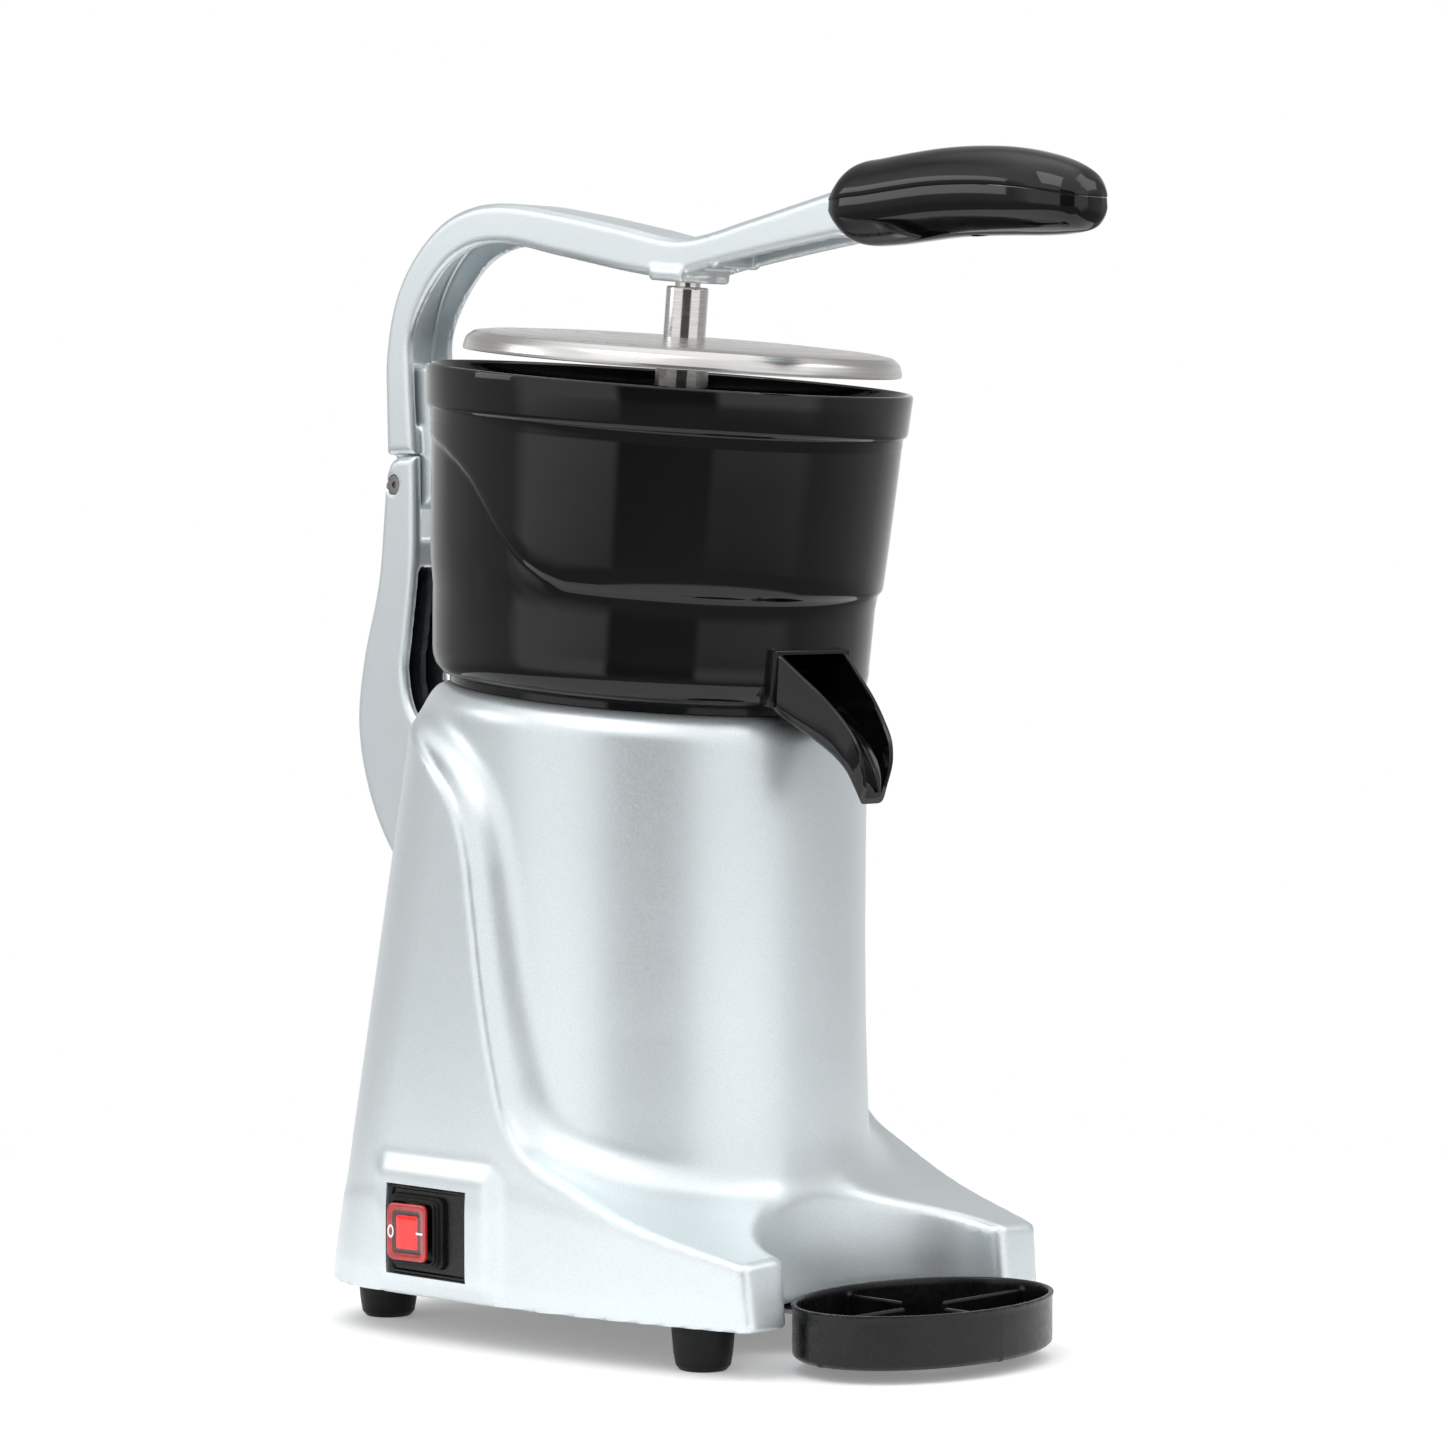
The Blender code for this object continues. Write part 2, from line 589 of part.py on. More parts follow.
def splash_lid():
    """A dished steel lid that rests on the shaft's stop ring and can rise along the shaft."""
    low, bore = LID_LOW, SHAFT_RADIUS + 0.1
    profile = [
        (bore, low + 9.8), (14, low + 9.8), (16, low + 9.2), (60, low + 8.6),
        (LID_RADIUS - 6, low + 7.4), (LID_RADIUS - 1.6, low + 5.4), (LID_RADIUS, low + 1.2),
        (LID_RADIUS - 0.4, low), (LID_RADIUS - 1.3, low), (LID_RADIUS - 2.6, low + 4.4),
        (LID_RADIUS - 6.6, low + 6.2), (60, low + 7.4), (12.4, low + 7.6), (11.6, low), (bore, low),
    ]
    return turned("splash_lid", profile, (0, 0, 0), LID, STEEL, closed=True)


def press_cup():
    """The dome that pushes the fruit onto the reamer, held on the shaft by a nut."""
    top = -22.0
    outer = [(5.3, top), (12, top), (13, top - 3), (26, top - 7.5), (38, top - 17),
             (CUP_RADIUS - 3, top - 29), (CUP_RADIUS, top - 40)]
    inner = [(CUP_RADIUS - 2.4, top - 40), (CUP_RADIUS - 5.4, top - 30.4), (36, top - 19.4),
             (25, top - 11.0), (11, top - 6.4), (5.3, top - 6.4)]
    turned("press_cup", outer + inner, (0, 0, 0), DRIVE, ALUMINIUM, closed=True)
    nut = rod("cup_nut", 8.2, -33.2, top - 6.4 - GAP, (0, 0, 0), DRIVE, STEEL, sides=6)
    cut(nut, rod("cup_nut_bore", 5.3, -30.6, -20, (0, 0, 0), DRIVE, sides=24))


# ---------------------------------------------------------------- bowl


def bowl():
    """The juice bowl: a turned shell with a collar, a foot ring, a chimney and a spout."""
    floor = BOWL_FLOOR
    inside = [
        (0, floor), (78, floor), (81.6, floor + 5), (86.2, -74), (89.0, -22), (92.0, -17), (92.4, 0),
    ]
    outside = [
        (RIM_RADIUS - 0.4, 0), (RIM_RADIUS, -1.2), (94.2, -17), (92.0, -20.5), (91.6, -24), (88.8, -74),
        (87.4, -82), (85.6, -111), (84.0, -117), (79, -121.2), (78, HEAD_TOP + GAP),
        (74, HEAD_TOP + GAP), (74, floor - BOWL_WALL), (0, floor - BOWL_WALL),
    ]
    shell = turned("bowl", inside + outside, (0, 0, 0), HEAD, BLACK_GLOSS, steps=54)
    chimney = rod("bowl_chimney", CHIMNEY_RADIUS, floor - 1.5, -98, (0, 0, 0), DRIVE)
    join(shell, chimney, spout())
    cut(shell, rod("chimney_bore", 9.0, -130, -90, (0, 0, 0), DRIVE, sides=32))
    cut(shell, box("spout_mouth", (2 * SPOUT_HALF_WIDTH - 4.4, 20, -99 - floor),
                   (0, -82, (floor - 99) / 2), HEAD))
    return shell


def spout():
    """An open channel that narrows as it falls away from the bowl's wall."""
    stations = [
        # top edge (y, z), bottom (y, z), half width, all in the machine's frame
        ((-70, -102), (-66, -124.5), 19.7), ((-74.7, -105.8), (-71.5, -129), 19.7),
        ((-86.2, -115.7), (-82.5, -136), 17.0), ((-95.4, -123.8), (-90, -140.8), 14.6),
        ((-103.7, -132.9), (-97, -146.5), 12.0), ((-108.4, -140.2), (-102, -152), 10.7),
        ((-110.2, -147.7), (-105, -157.5), 9.6), ((-109.6, -157), (-107.3, -162.8), 7.4),
    ]
    wall = 2.2
    rings = []
    for (top_y, top_z), (low_y, low_z), half in stations:
        down = Vector((0, low_y - top_y, low_z - top_z))
        depth = down.length
        down.normalize()
        top = Vector((0, top_y, top_z))
        bend = min(6.0, half * 0.6)

        def point(x, d):
            return top + down * d + Vector((x, 0, 0))

        inner = half - wall
        rings.append([
            point(-half, 0), point(-half, depth - bend), point(-half + bend, depth),
            point(half - bend, depth), point(half, depth - bend), point(half, 0),
            point(inner, 0), point(inner, depth - bend - wall * 0.4),
            point(inner - bend * 0.8, depth - wall), point(-inner + bend * 0.8, depth - wall),
            point(-inner, depth - bend - wall * 0.4), point(-inner, 0),
        ])
    return loft("spout_channel", rings, (0, 0, 0), MACHINE)


def strainer():
    """A shallow sieve that rests on the bowl's wall and fits round the chimney."""
    low, thick = -94.0, 1.8
    profile = [
        (0, low), (70, low), (78, low + 6), (83.0, low + 22), (85.8, low + 22),
        (85.6, low + 20.4), (84.4, low + 20.0), (79.8, low + 5), (71, low - thick),
        (0, low - thick),
    ]
    sieve = turned("strainer", profile, (0, 0, 0), HEAD, BLACK_SATIN)
    cut(sieve, rod("strainer_hole", CHIMNEY_RADIUS + 0.5, low - 8, low + 8, (0, 0, 0), DRIVE))
    count = 16
    for i in range(count):
        angle = 2 * pi * i / count
        middle = 46
        slot = box(f"strainer_slot_{i}", (36, 2.2, 10),
                   (middle * cos(angle), middle * sin(angle), low - 1), HEAD,
                   turn=(0, 0, degrees(angle)))
        cut(sieve, slot)
    return sieve


def reamer_cone():
    """The ribbed cone that turns inside the fruit; its socket drops over the drive shaft."""
    ribs, sides = 8, 48
    low, tip = -90.5, -34.5
    rings = []
    levels = [0.0, 0.05, 0.25, 0.5, 0.72, 0.88, 0.97]
    for t in levels:
        radius = 37.0 * sqrt(1 - t * t) if t > 0.05 else 38.0
        ripple = 0.07 if t > 0.05 else 0.0
        ring = []
        for i in range(sides):
            a = 2 * pi * i / sides
            r = radius * (1 - ripple + ripple * cos(ribs * a))
            ring.append((r * cos(a), r * sin(a), low + (tip - low) * t))
        rings.append(ring)
    cone = loft("reamer_cone", rings, (0, 0, 0), DRIVE, BLACK_SATIN)
    hollow = rod("reamer_hollow", 31, low - 5, low + 4, (0, 0, 0), DRIVE, top=29)
    socket = rod("reamer_socket", SPINDLE_RADIUS + GAP, low - 5, -54.5, (0, 0, 0), DRIVE, sides=6)
    hub = rod("reamer_room", 14.5, low - 5, low + 4.1, (0, 0, 0), DRIVE)
    return cut(cone, hollow, hub, socket)


# ---------------------------------------------------------------- drive


def motor_bolt_places():
    return [(33 * cos(a), 33 * sin(a), 0) for a in (radians(30 + 120 * i) for i in range(3))]


def motor():
    top, low = MOTOR_TOP, MOTOR_TOP - 116
    cover = turned(
        "motor_top_cover",
        [(16.4, top), (MOTOR_RADIUS, top), (MOTOR_RADIUS, top - 12), (MOTOR_RADIUS - 4, top - 12),
         (MOTOR_RADIUS - 4, top - 5), (20, top - 5), (20, top - 16), (12, top - 16),
         (12, top - 14.2), (16.4, top - 14.2)],
        (0, 0, 0), DRIVE, ALUMINIUM, closed=True)
    for i, place in enumerate(motor_bolt_places()):
        cut(cover, rod(f"cover_thread_{i}", 2.3, top - 10, top + 5, place, DRIVE,
                       sides=SMALL_SIDES))
        screw_with_head(f"motor_bolt_{i + 1}", 2.0, 9.5, 3.8, 2.4,
                        (place[0], place[1], HEAD_TOP + GAP), DRIVE)
    case_top, case_low = top - 12 - GAP, low + 12 + GAP
    turned("motor_case",
           [(MOTOR_RADIUS, case_top), (MOTOR_RADIUS, case_low), (MOTOR_RADIUS - 3, case_low),
            (MOTOR_RADIUS - 3, case_top)],
           (0, 0, 0), DRIVE, DARK_STEEL, closed=True)
    turned("motor_bottom_cover",
           [(MOTOR_RADIUS - 4, low + 12), (MOTOR_RADIUS, low + 12), (MOTOR_RADIUS, low),
            (12, low), (12, low + 1.8), (16.4, low + 1.8), (16.4, low + 12.5), (20, low + 12.5),
            (20, low + 5), (MOTOR_RADIUS - 4, low + 5)],
           (0, 0, 0), DRIVE, ALUMINIUM, closed=True)
    core_top, core_low = top - 30, top - 80
    inner, outer = ROTOR_RADIUS + 0.6, MOTOR_RADIUS - 3 - GAP
    turned("stator_core", [(inner, core_top), (outer, core_top), (outer, core_low),
                           (inner, core_low)], (0, 0, 0), DRIVE, DARK_STEEL, closed=True)
    for name, high in (("winding_upper", core_top + 12), ("winding_lower", core_low - GAP)):
        turned(name, [(inner + 3, high - 2), (inner + 5, high), (outer - 5, high),
                      (outer - 3, high - 2), (outer - 3, high - 12 + GAP),
                      (inner + 3, high - 12 + GAP)],
               (0, 0, 0), DRIVE, COPPER, closed=True)
    for name, high in (("bearing_upper", top - 3.4), ("bearing_lower", low + 12.4)):
        turned(name, [(SPINDLE_RADIUS + 0.08, high), (16.1, high), (16.1, high - 10),
                      (SPINDLE_RADIUS + 0.08, high - 10)],
               (0, 0, 0), DRIVE, STEEL, closed=True)


def spindle():
    """What the motor turns: shaft, rotor and fan, with the reamer on top."""
    low = MOTOR_TOP - 114.0
    shaft = turned("drive_shaft",
                   [(0, -56), (4.8, -56), (5.2, -57), (5.2, -88), (SPINDLE_RADIUS, -90),
                    (SPINDLE_RADIUS, low), (0, low)],
                   (0, 0, 0), DRIVE, STEEL, steps=ROUND_SIDES)
    rotor_top = MOTOR_TOP - 29
    bore = SPINDLE_RADIUS + GAP
    turned("rotor", [(bore, rotor_top), (ROTOR_RADIUS, rotor_top), (ROTOR_RADIUS, rotor_top - 52),
                     (bore, rotor_top - 52)], (0, 0, 0), DRIVE, ALUMINIUM, closed=True)
    fan_top = rotor_top - 53
    fan = turned("cooling_fan", [(bore, fan_top), (10, fan_top), (10, fan_top - 6),
                                 (24, fan_top - 6), (24, fan_top - 7.5), (bore, fan_top - 7.5)],
                 (0, 0, 0), DRIVE, WHITE_PLASTIC, steps=32, closed=True)
    blades = 7
    for i in range(blades):
        angle = 2 * pi * i / blades
        join(fan, box(f"fan_blade_{i}", (13, 1.4, 6), (16 * cos(angle), 16 * sin(angle),
                                                       fan_top - 4), DRIVE,
                      turn=(0, 0, degrees(angle))))
    seal_top = -119.0
    turned("shaft_seal", [(SPINDLE_RADIUS + 0.1, seal_top), (8.6, seal_top),
                          (8.6, seal_top - 3.5), (15, seal_top - 5.3 + 1.0),
                          (15, MOTOR_TOP + GAP), (SPINDLE_RADIUS + 0.1, MOTOR_TOP + GAP)],
           (0, 0, 0), DRIVE, BLACK_RUBBER, steps=32, closed=True)
    return shaft


# ---------------------------------------------------------------- electrics


GLAND_AT = (40.0, -322.0)  # x and z on the rear face


def cable_gland():
    profile = [(3.6, 9), (6, 9), (7.5, 4), (9.5, 3.4), (9.5, GAP), (6, GAP), (6, -8), (3.6, -8)]
    turned("cable_gland", profile, on_rear(*GLAND_AT), MACHINE, BLACK_RUBBER, steps=24,
           closed=True, turn=OUT_OF_REAR)


def switch():
    """A rocker under a rubber skirt, in a rectangular bezel let into the left wall."""
    y, z = SWITCH_AT
    wide, tall = SWITCH_SIZE
    face = SWITCH_FACE
    bezel = box("switch_bezel", (5.5, wide - 0.6, tall - 0.6), (face + 2.0, y, z), MACHINE,
                BLACK_SATIN)
    cut(bezel, box("bezel_recess", (3, wide - 5, tall - 4), (face - 1.1, y, z), MACHINE),
        box("bezel_window", (20, 26.6, 25.6), (face, y + 5.5, z), MACHINE))
    box("switch_body", (20, 26, 25), (face + 13.8, y + 5.5, z), MACHINE, BLACK_SATIN)
    boot = box("switch_boot", (7.2, 26, 25), (face - 0.2, y + 5.5, z), MACHINE, BLACK_RUBBER)
    cut(boot, box("boot_window", (20, 23.2, 22.6), (face, y + 5.5, z), MACHINE))
    rocker_axis = new_empty("rocker_axis", (face + 1.5, y + 5.5, z), 0, MACHINE)
    outline("rocker", [(-7.4, -10), (-6.9, -4), (-8.0, 4), (-9.6, 10), (-1.5, 10), (1.6, 2),
                       (1.6, -2), (-1.5, -10)],
            11.0, (0, 0, 0), rocker_axis, RED_LENS, smooth=False)


def electrics():
    rod("capacitor", 15, 0, 55, (-30, -30, PLATE_LOW + 20 - RIM_HEIGHT), MACHINE, WHITE_PLASTIC,
        turn=(0, 90, 0), sides=32)
    box("terminal_block", (36, 16, 14), (30, 70, PLATE_LOW + 2.3 + 7 - RIM_HEIGHT), MACHINE,
        WHITE_PLASTIC)


# ---------------------------------------------------------------- tray


def drip_tray():
    floor = 2.4
    tray = outline("drip_tray", ellipse(TRAY_RADII, (0, 0), 56), TRAY_HEIGHT / 2,
                   (0, 0, TRAY_HEIGHT / 2), TRAY, BLACK_SATIN, smooth=False)
    cut(tray, outline("tray_hollow", ellipse([r - 2.2 for r in TRAY_RADII], (0, 0), 56), 20,
                      (0, 0, 20 + floor), TRAY, smooth=False))
    for sx in (-1, 1):
        for sy in (-1, 1):
            join(tray, box(f"tray_rib_{sx}_{sy}", (27, 1.8, 13), (sx * 32, sy * 15, 8.0), TRAY,
                           turn=(0, 0, sx * sy * 26)))
    return tray


def tray_bracket():
    """A bent steel strip under the base plate that carries the tray clear of the table."""
    strip, high, low = 1.6, PLATE_LOW - GAP, TRAY_LOW - GAP
    rear, front, under_wall = -44, -152, 16.4
    bends = [(-61, high), (-65, under_wall), (-84, under_wall), (-90, low)]
    upper = [(rear, high), *bends, (front, low)]
    lower = [(rear, high - strip), *((y + strip / 2, z - strip) for y, z in bends),
             (front, low - strip)]
    points = [(y, z - RIM_HEIGHT, CORNER) for y, z in upper + lower[::-1]]
    bracket = side_outline("tray_bracket", points, 16, MACHINE, DARK_STEEL)
    for name, x in (("left", -9), ("right", 9)):
        at = (x, -52, high - strip - GAP - RIM_HEIGHT)
        cut(bracket, rod("bracket_hole_" + name, 2.4, -5, 5, at, MACHINE, sides=SMALL_SIDES))
        screw_with_head("bracket_screw_" + name, 2.0, 9, 3.6, 2.4, at, MACHINE, turn=(180, 0, 0))
    return bracket


def build():
    housing()
    base_plate()
    for name, (x, y) in FOOT_AT.items():
        foot(name, x, y)
    rear_post()
    hinge_pin()
    lever_arm()
    grip()
    press_shaft()
    splash_lid()
    press_cup()
    bowl()
    strainer()
    reamer_cone()
    motor()
    spindle()
    cable_gland()
    switch()
    electrics()
    tray_bracket()
    drip_tray()


build()
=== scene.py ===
"""The looks of the lever citrus press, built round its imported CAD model.

Shapes are given in millimetres in one of three frames, which are read from the joints: MACHINE has
its origin at the centre of the bowl's rim, HEAD leans forward with the bowl, and DRIVE leans with
it on the press shaft's axis. Cast and moulded pieces are skinned from signed distances, so their
edges and corners have true fillets. The front is -Y, and the switch is on the -X side.
"""

import json
from math import atan2, cos, pi, radians, sin, sqrt

import bmesh
import bpy
import numpy as np
from mathutils import Matrix, Vector


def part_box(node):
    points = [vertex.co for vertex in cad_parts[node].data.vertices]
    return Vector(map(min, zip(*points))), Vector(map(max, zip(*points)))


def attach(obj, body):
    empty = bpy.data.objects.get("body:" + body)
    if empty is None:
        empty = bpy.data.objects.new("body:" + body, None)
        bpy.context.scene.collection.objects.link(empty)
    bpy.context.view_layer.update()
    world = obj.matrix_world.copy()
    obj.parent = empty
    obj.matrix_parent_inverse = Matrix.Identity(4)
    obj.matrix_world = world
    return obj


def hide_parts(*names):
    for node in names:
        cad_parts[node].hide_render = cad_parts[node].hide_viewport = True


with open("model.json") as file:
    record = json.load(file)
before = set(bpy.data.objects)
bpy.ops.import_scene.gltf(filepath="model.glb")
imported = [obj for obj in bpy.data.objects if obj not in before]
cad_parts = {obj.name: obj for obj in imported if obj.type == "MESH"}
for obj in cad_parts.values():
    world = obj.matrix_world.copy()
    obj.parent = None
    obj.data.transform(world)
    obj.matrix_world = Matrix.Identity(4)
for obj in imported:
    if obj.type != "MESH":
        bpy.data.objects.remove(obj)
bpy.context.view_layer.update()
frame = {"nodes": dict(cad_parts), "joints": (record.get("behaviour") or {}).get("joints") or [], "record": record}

MM = 0.001
CORNER = "corner"  # marks a sharp point in an outline
SHARP = 35  # degrees between faces that make a visible edge
CAST_SHARP = 50  # the same on skinned castings and mouldings

# ---------------------------------------------------------------- places, from the frame

JOINTS = {joint["name"]: joint for joint in frame["joints"]}
DRIVE_AHEAD = 6.2  # the press axis lies this far ahead of the bowl's axis


def leaning_frames():
    """The frames MACHINE, HEAD and DRIVE, from the spindle's axis."""
    axis = Vector(JOINTS["spindle_spin"]["axis"])
    lean = atan2(-axis.y, axis.z)
    drive = Matrix.Translation(JOINTS["spindle_spin"]["pos_m"]) @ Matrix.Rotation(lean, 4, "X")
    head = drive @ Matrix.Translation((0, DRIVE_AHEAD * MM, 0))
    return Matrix.Translation(head.translation), head, drive, lean


MACHINE, HEAD, DRIVE, LEAN = leaning_frames()
SIN, COS = sin(LEAN), cos(LEAN)
FLOOR = -MACHINE.translation.z / MM  # the table's height in the machine's frame
PIN_AT = [v / MM for v in Vector(JOINTS["lever_hinge"]["pos_m"]) - MACHINE.translation][1:]

# ---------------------------------------------------------------- signed distances


def curve(points, steps=8, closed=True):
    """A smooth line through the points as a polyline; points marked CORNER stay sharp."""
    knots = [np.array(p[:2], float) for p in points]
    sharp = [CORNER in p for p in points]
    count = len(knots)
    line = []
    for i in range(count if closed else count - 1):
        j = (i + 1) % count
        a, b = knots[i], knots[j]
        span = np.linalg.norm(b - a)
        leave = (b - a) if sharp[i] else tangent(knots, i, closed) * span
        arrive = (b - a) if sharp[j] else tangent(knots, j, closed) * span
        straight = sharp[i] and sharp[j]
        for t in ([0.0] if straight else np.arange(steps) / steps):
            line.append((2 * t**3 - 3 * t**2 + 1) * a + (t**3 - 2 * t**2 + t) * leave
                        + (3 * t**2 - 2 * t**3) * b + (t**3 - t**2) * arrive)
    if not closed:
        line.append(knots[-1])
    return np.array(line)


def tangent(knots, i, closed):
    """The direction of the line at a smooth knot."""
    before = knots[i - 1] if closed or i > 0 else knots[i]
    after = knots[(i + 1) % len(knots)] if closed or i + 1 < len(knots) else knots[i]
    ways = [w / max(np.linalg.norm(w), 1e-9) for w in (knots[i] - before, after - knots[i])]
    both = ways[0] + ways[1]
    return both / max(np.linalg.norm(both), 1e-9)


def inside_outline(line, a, b):
    """Signed distance from (a, b) to a closed polyline, negative inside."""
    nearest, inner = 1e9, False
    for p, q in zip(line, np.roll(line, -1, axis=0)):
        da, db = q - p
        share = np.clip(((a - p[0]) * da + (b - p[1]) * db) / (da * da + db * db), 0, 1)
        nearest = np.minimum(nearest, (a - p[0] - share * da) ** 2 + (b - p[1] - share * db) ** 2)
        spans = (p[1] <= b) != (q[1] <= b)
        inner = inner ^ (spans & (a < p[0] + (b - p[1]) * da / (db if db else 1e-9)))
    return np.sqrt(nearest) * np.where(inner, -1, 1)


def round_common(a, b, r):
    """What is in both, with the edge rounded."""
    return np.minimum(-r, np.maximum(a, b)) + np.hypot(np.maximum(r + a, 0), np.maximum(r + b, 0))


def round_union(a, b, r):
    """What is in either, with a fillet of that radius."""
    return np.maximum(r, np.minimum(a, b)) - np.hypot(np.maximum(r - a, 0), np.maximum(r - b, 0))


def minus(a, b, r=0.01):
    return round_common(a, -b, r)


def brick(x, y, z, low, high, r):
    """A box with rounded edges."""
    q = [abs(v - (a + b) / 2) - (b - a) / 2 + r for v, a, b in zip((x, y, z), low, high)]
    outer = np.sqrt(sum(np.maximum(v, 0) ** 2 for v in q))
    return outer + np.minimum(np.maximum(np.maximum(q[0], q[1]), q[2]), 0) - r


def oval(x, y, radii):
    """Nearly the distance to an ellipse's wall."""
    q = np.hypot(x / radii[0], y / radii[1])
    return q * (q - 1) / np.maximum(np.hypot(x / radii[0] ** 2, y / radii[1] ** 2), 1e-6)


CELL_CORNERS = [(i, j, k) for i in (0, 1) for j in (0, 1) for k in (0, 1)]


def skin(field, low, high, step):
    """Vertices and quads of the surface on which field(x, y, z) is zero.

    Each cell that the surface crosses gets one vertex at the mean of its edges' crossings, which
    is then pulled along the field's slope until it lies on the surface.
    """
    axes = [np.arange(a, b + step, step) for a, b in zip(low, high)]
    shape = [len(a) for a in axes]
    values = np.broadcast_to(field(*np.meshgrid(*axes, indexing="ij", sparse=True)), shape)
    inside = values < 0
    cells = [n - 1 for n in shape]

    def shifted(array, by):
        return array[tuple(slice(d, d + n) for d, n in zip(by, cells))]

    full = sum(shifted(inside, c).astype(np.int8) for c in CELL_CORNERS)
    crossed = (full > 0) & (full < 8)
    number = np.full(cells, -1)
    number[crossed] = np.arange(crossed.sum())
    at = np.argwhere(crossed)
    total, hits = np.zeros(at.shape), np.zeros((len(at), 1))
    for c in CELL_CORNERS:
        for axis in range(3):
            if c[axis]:
                continue
            first = at + c
            second = first + np.eye(3, dtype=int)[axis]
            va, vb = values[tuple(first.T)], values[tuple(second.T)]
            cuts = (va < 0) != (vb < 0)
            place = first.astype(float)
            place[:, axis] += np.where(cuts, va / np.where(cuts, va - vb, 1), 0)
            total += place * cuts[:, None]
            hits += cuts[:, None]
    points = total / hits * step + np.array(low)
    for _ in range(4):
        points -= pull(field, points, step)
    return points, quads_between(inside, number, cells)


def pull(field, points, step):
    """The step that takes each point onto the field's surface."""
    reach = 0.04
    value = field(*points.T)
    slope = np.stack([field(*(points + reach * way).T) - field(*(points - reach * way).T)
                      for way in np.eye(3)], axis=1) / (2 * reach)
    move = slope * (value / np.maximum((slope**2).sum(1), 0.05))[:, None]
    return np.clip(move, -0.4 * step, 0.4 * step)


def quads_between(inside, number, cells):
    """A quad round each grid edge that the surface crosses, facing out."""
    quads = []
    for axis in range(3):
        u, v = np.eye(3, dtype=int)[(axis + 1) % 3], np.eye(3, dtype=int)[(axis + 2) % 3]
        ends = np.diff(inside.astype(np.int8), axis=axis)
        at = np.argwhere(ends != 0)
        fits = ((at - u - v >= 0) & (at < cells)).all(1)
        at = at[fits]
        ring = np.stack([number[tuple((at - shift).T)] for shift in (0 * u, u, u + v, v)], axis=1)
        outward = ends[tuple(at.T)] < 0
        ring[~outward] = ring[~outward][:, ::-1]
        quads.append(ring)
    return np.concatenate(quads)


# ---------------------------------------------------------------- pieces


def mesh_of(name, points, faces, place):
    """A mesh whose points are in millimetres in a frame."""
    mesh = bpy.data.meshes.new(name)
    mesh.from_pydata([tuple(p) for p in points], [], [tuple(f) for f in faces])
    mesh.transform(place @ Matrix.Scale(MM, 4))
    return mesh


def closed_mesh(name, points, faces, place):
    """The same, with points that meet welded and every face turned outwards."""
    mesh = mesh_of(name, points, faces, place)
    bm = bmesh.new()
    bm.from_mesh(mesh)
    bmesh.ops.remove_doubles(bm, verts=bm.verts, dist=0.00001)
    bmesh.ops.dissolve_degenerate(bm, edges=bm.edges, dist=0.000001)
    bmesh.ops.recalc_face_normals(bm, faces=bm.faces)
    bm.to_mesh(mesh)
    bm.free()
    return mesh


def add_mesh(name, mesh, body, finish, replaces=(), sharp=SHARP):
    """Puts a mesh into the scene, riding on a body."""
    obj = bpy.data.objects.new(name, mesh)
    bpy.context.scene.collection.objects.link(obj)
    for made in finish if isinstance(finish, list) else [finish]:
        mesh.materials.append(made)
    mesh.shade_smooth()
    mesh.set_sharp_from_angle(angle=radians(sharp))
    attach(obj, body)
    if replaces:
        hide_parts(*replaces)
    return obj


def add_skin(name, field, low, high, step, place, body, finish, replaces):
    """Puts the surface of a signed distance into the scene."""
    points, faces = skin(field, low, high, step)
    mesh = mesh_of(name, points, faces, place)
    mesh.validate()
    return add_mesh(name, mesh, body, finish, replaces, CAST_SHARP)


def ring_faces(rows, count, closed_rows=False, caps=False):
    """Quads between rows of points that each have the same count, which close on themselves."""
    faces = []
    for r in range(rows if closed_rows else rows - 1):
        for i in range(count):
            a, b = r * count + i, r * count + (i + 1) % count
            c, d = ((r + 1) % rows) * count + (i + 1) % count, ((r + 1) % rows) * count + i
            faces.append((a, b, c, d))
    if caps:
        faces += [tuple(range(count)), tuple(range((rows - 1) * count, rows * count))]
    return faces


def tube(name, rings, place, looped=False):
    """A closed mesh through rings of points; looped joins the last ring to the first."""
    points = [p for ring in rings for p in ring]
    faces = ring_faces(len(rings), len(rings[0]), closed_rows=looped, caps=not looped)
    return closed_mesh(name, points, faces, place)


def rounded(points, steps=5):
    """A profile whose points with a third value have that radius at their corner."""
    line = []
    count = len(points)
    for i, point in enumerate(points):
        here = np.array(point[:2], float)
        if len(point) < 3:
            line.append(here)
            continue
        before, after = (np.array(points[(i + d) % count][:2], float) for d in (-1, 1))
        back, on = before - here, after - here
        reach_back, reach_on = np.linalg.norm(back), np.linalg.norm(on)
        back, on = back / reach_back, on / reach_on
        half = np.arccos(np.clip(back @ on, -1, 1)) / 2
        cut = min(point[2] / np.tan(half), reach_back * 0.49, reach_on * 0.49)
        start, end = here + back * cut, here + on * cut
        for t in np.linspace(0, 1, steps + 1):
            line.append((1 - t) ** 2 * start + 2 * t * (1 - t) * here + t**2 * end)
    return line


def add_turned(name, profile, place, body, finish, replaces, steps=128):
    """Puts a closed profile of (radius, height), turned about its axis, into the scene."""
    angles = np.arange(steps) * 2 * pi / steps
    rings = [[(r * cos(a), r * sin(a), h) for a in angles] for r, h in rounded(profile)]
    return add_mesh(name, tube(name, rings, place, looped=True), body, finish, replaces)


def cutter(mesh):
    """A hidden shape for a Boolean."""
    obj = bpy.data.objects.new("cutter", mesh)
    bpy.context.scene.collection.objects.link(obj)
    return obj


def cutter_of(bm, place):
    mesh = bpy.data.meshes.new("cutter")
    bm.to_mesh(mesh)
    bm.free()
    mesh.transform(place @ Matrix.Scale(MM, 4))
    return cutter(mesh)


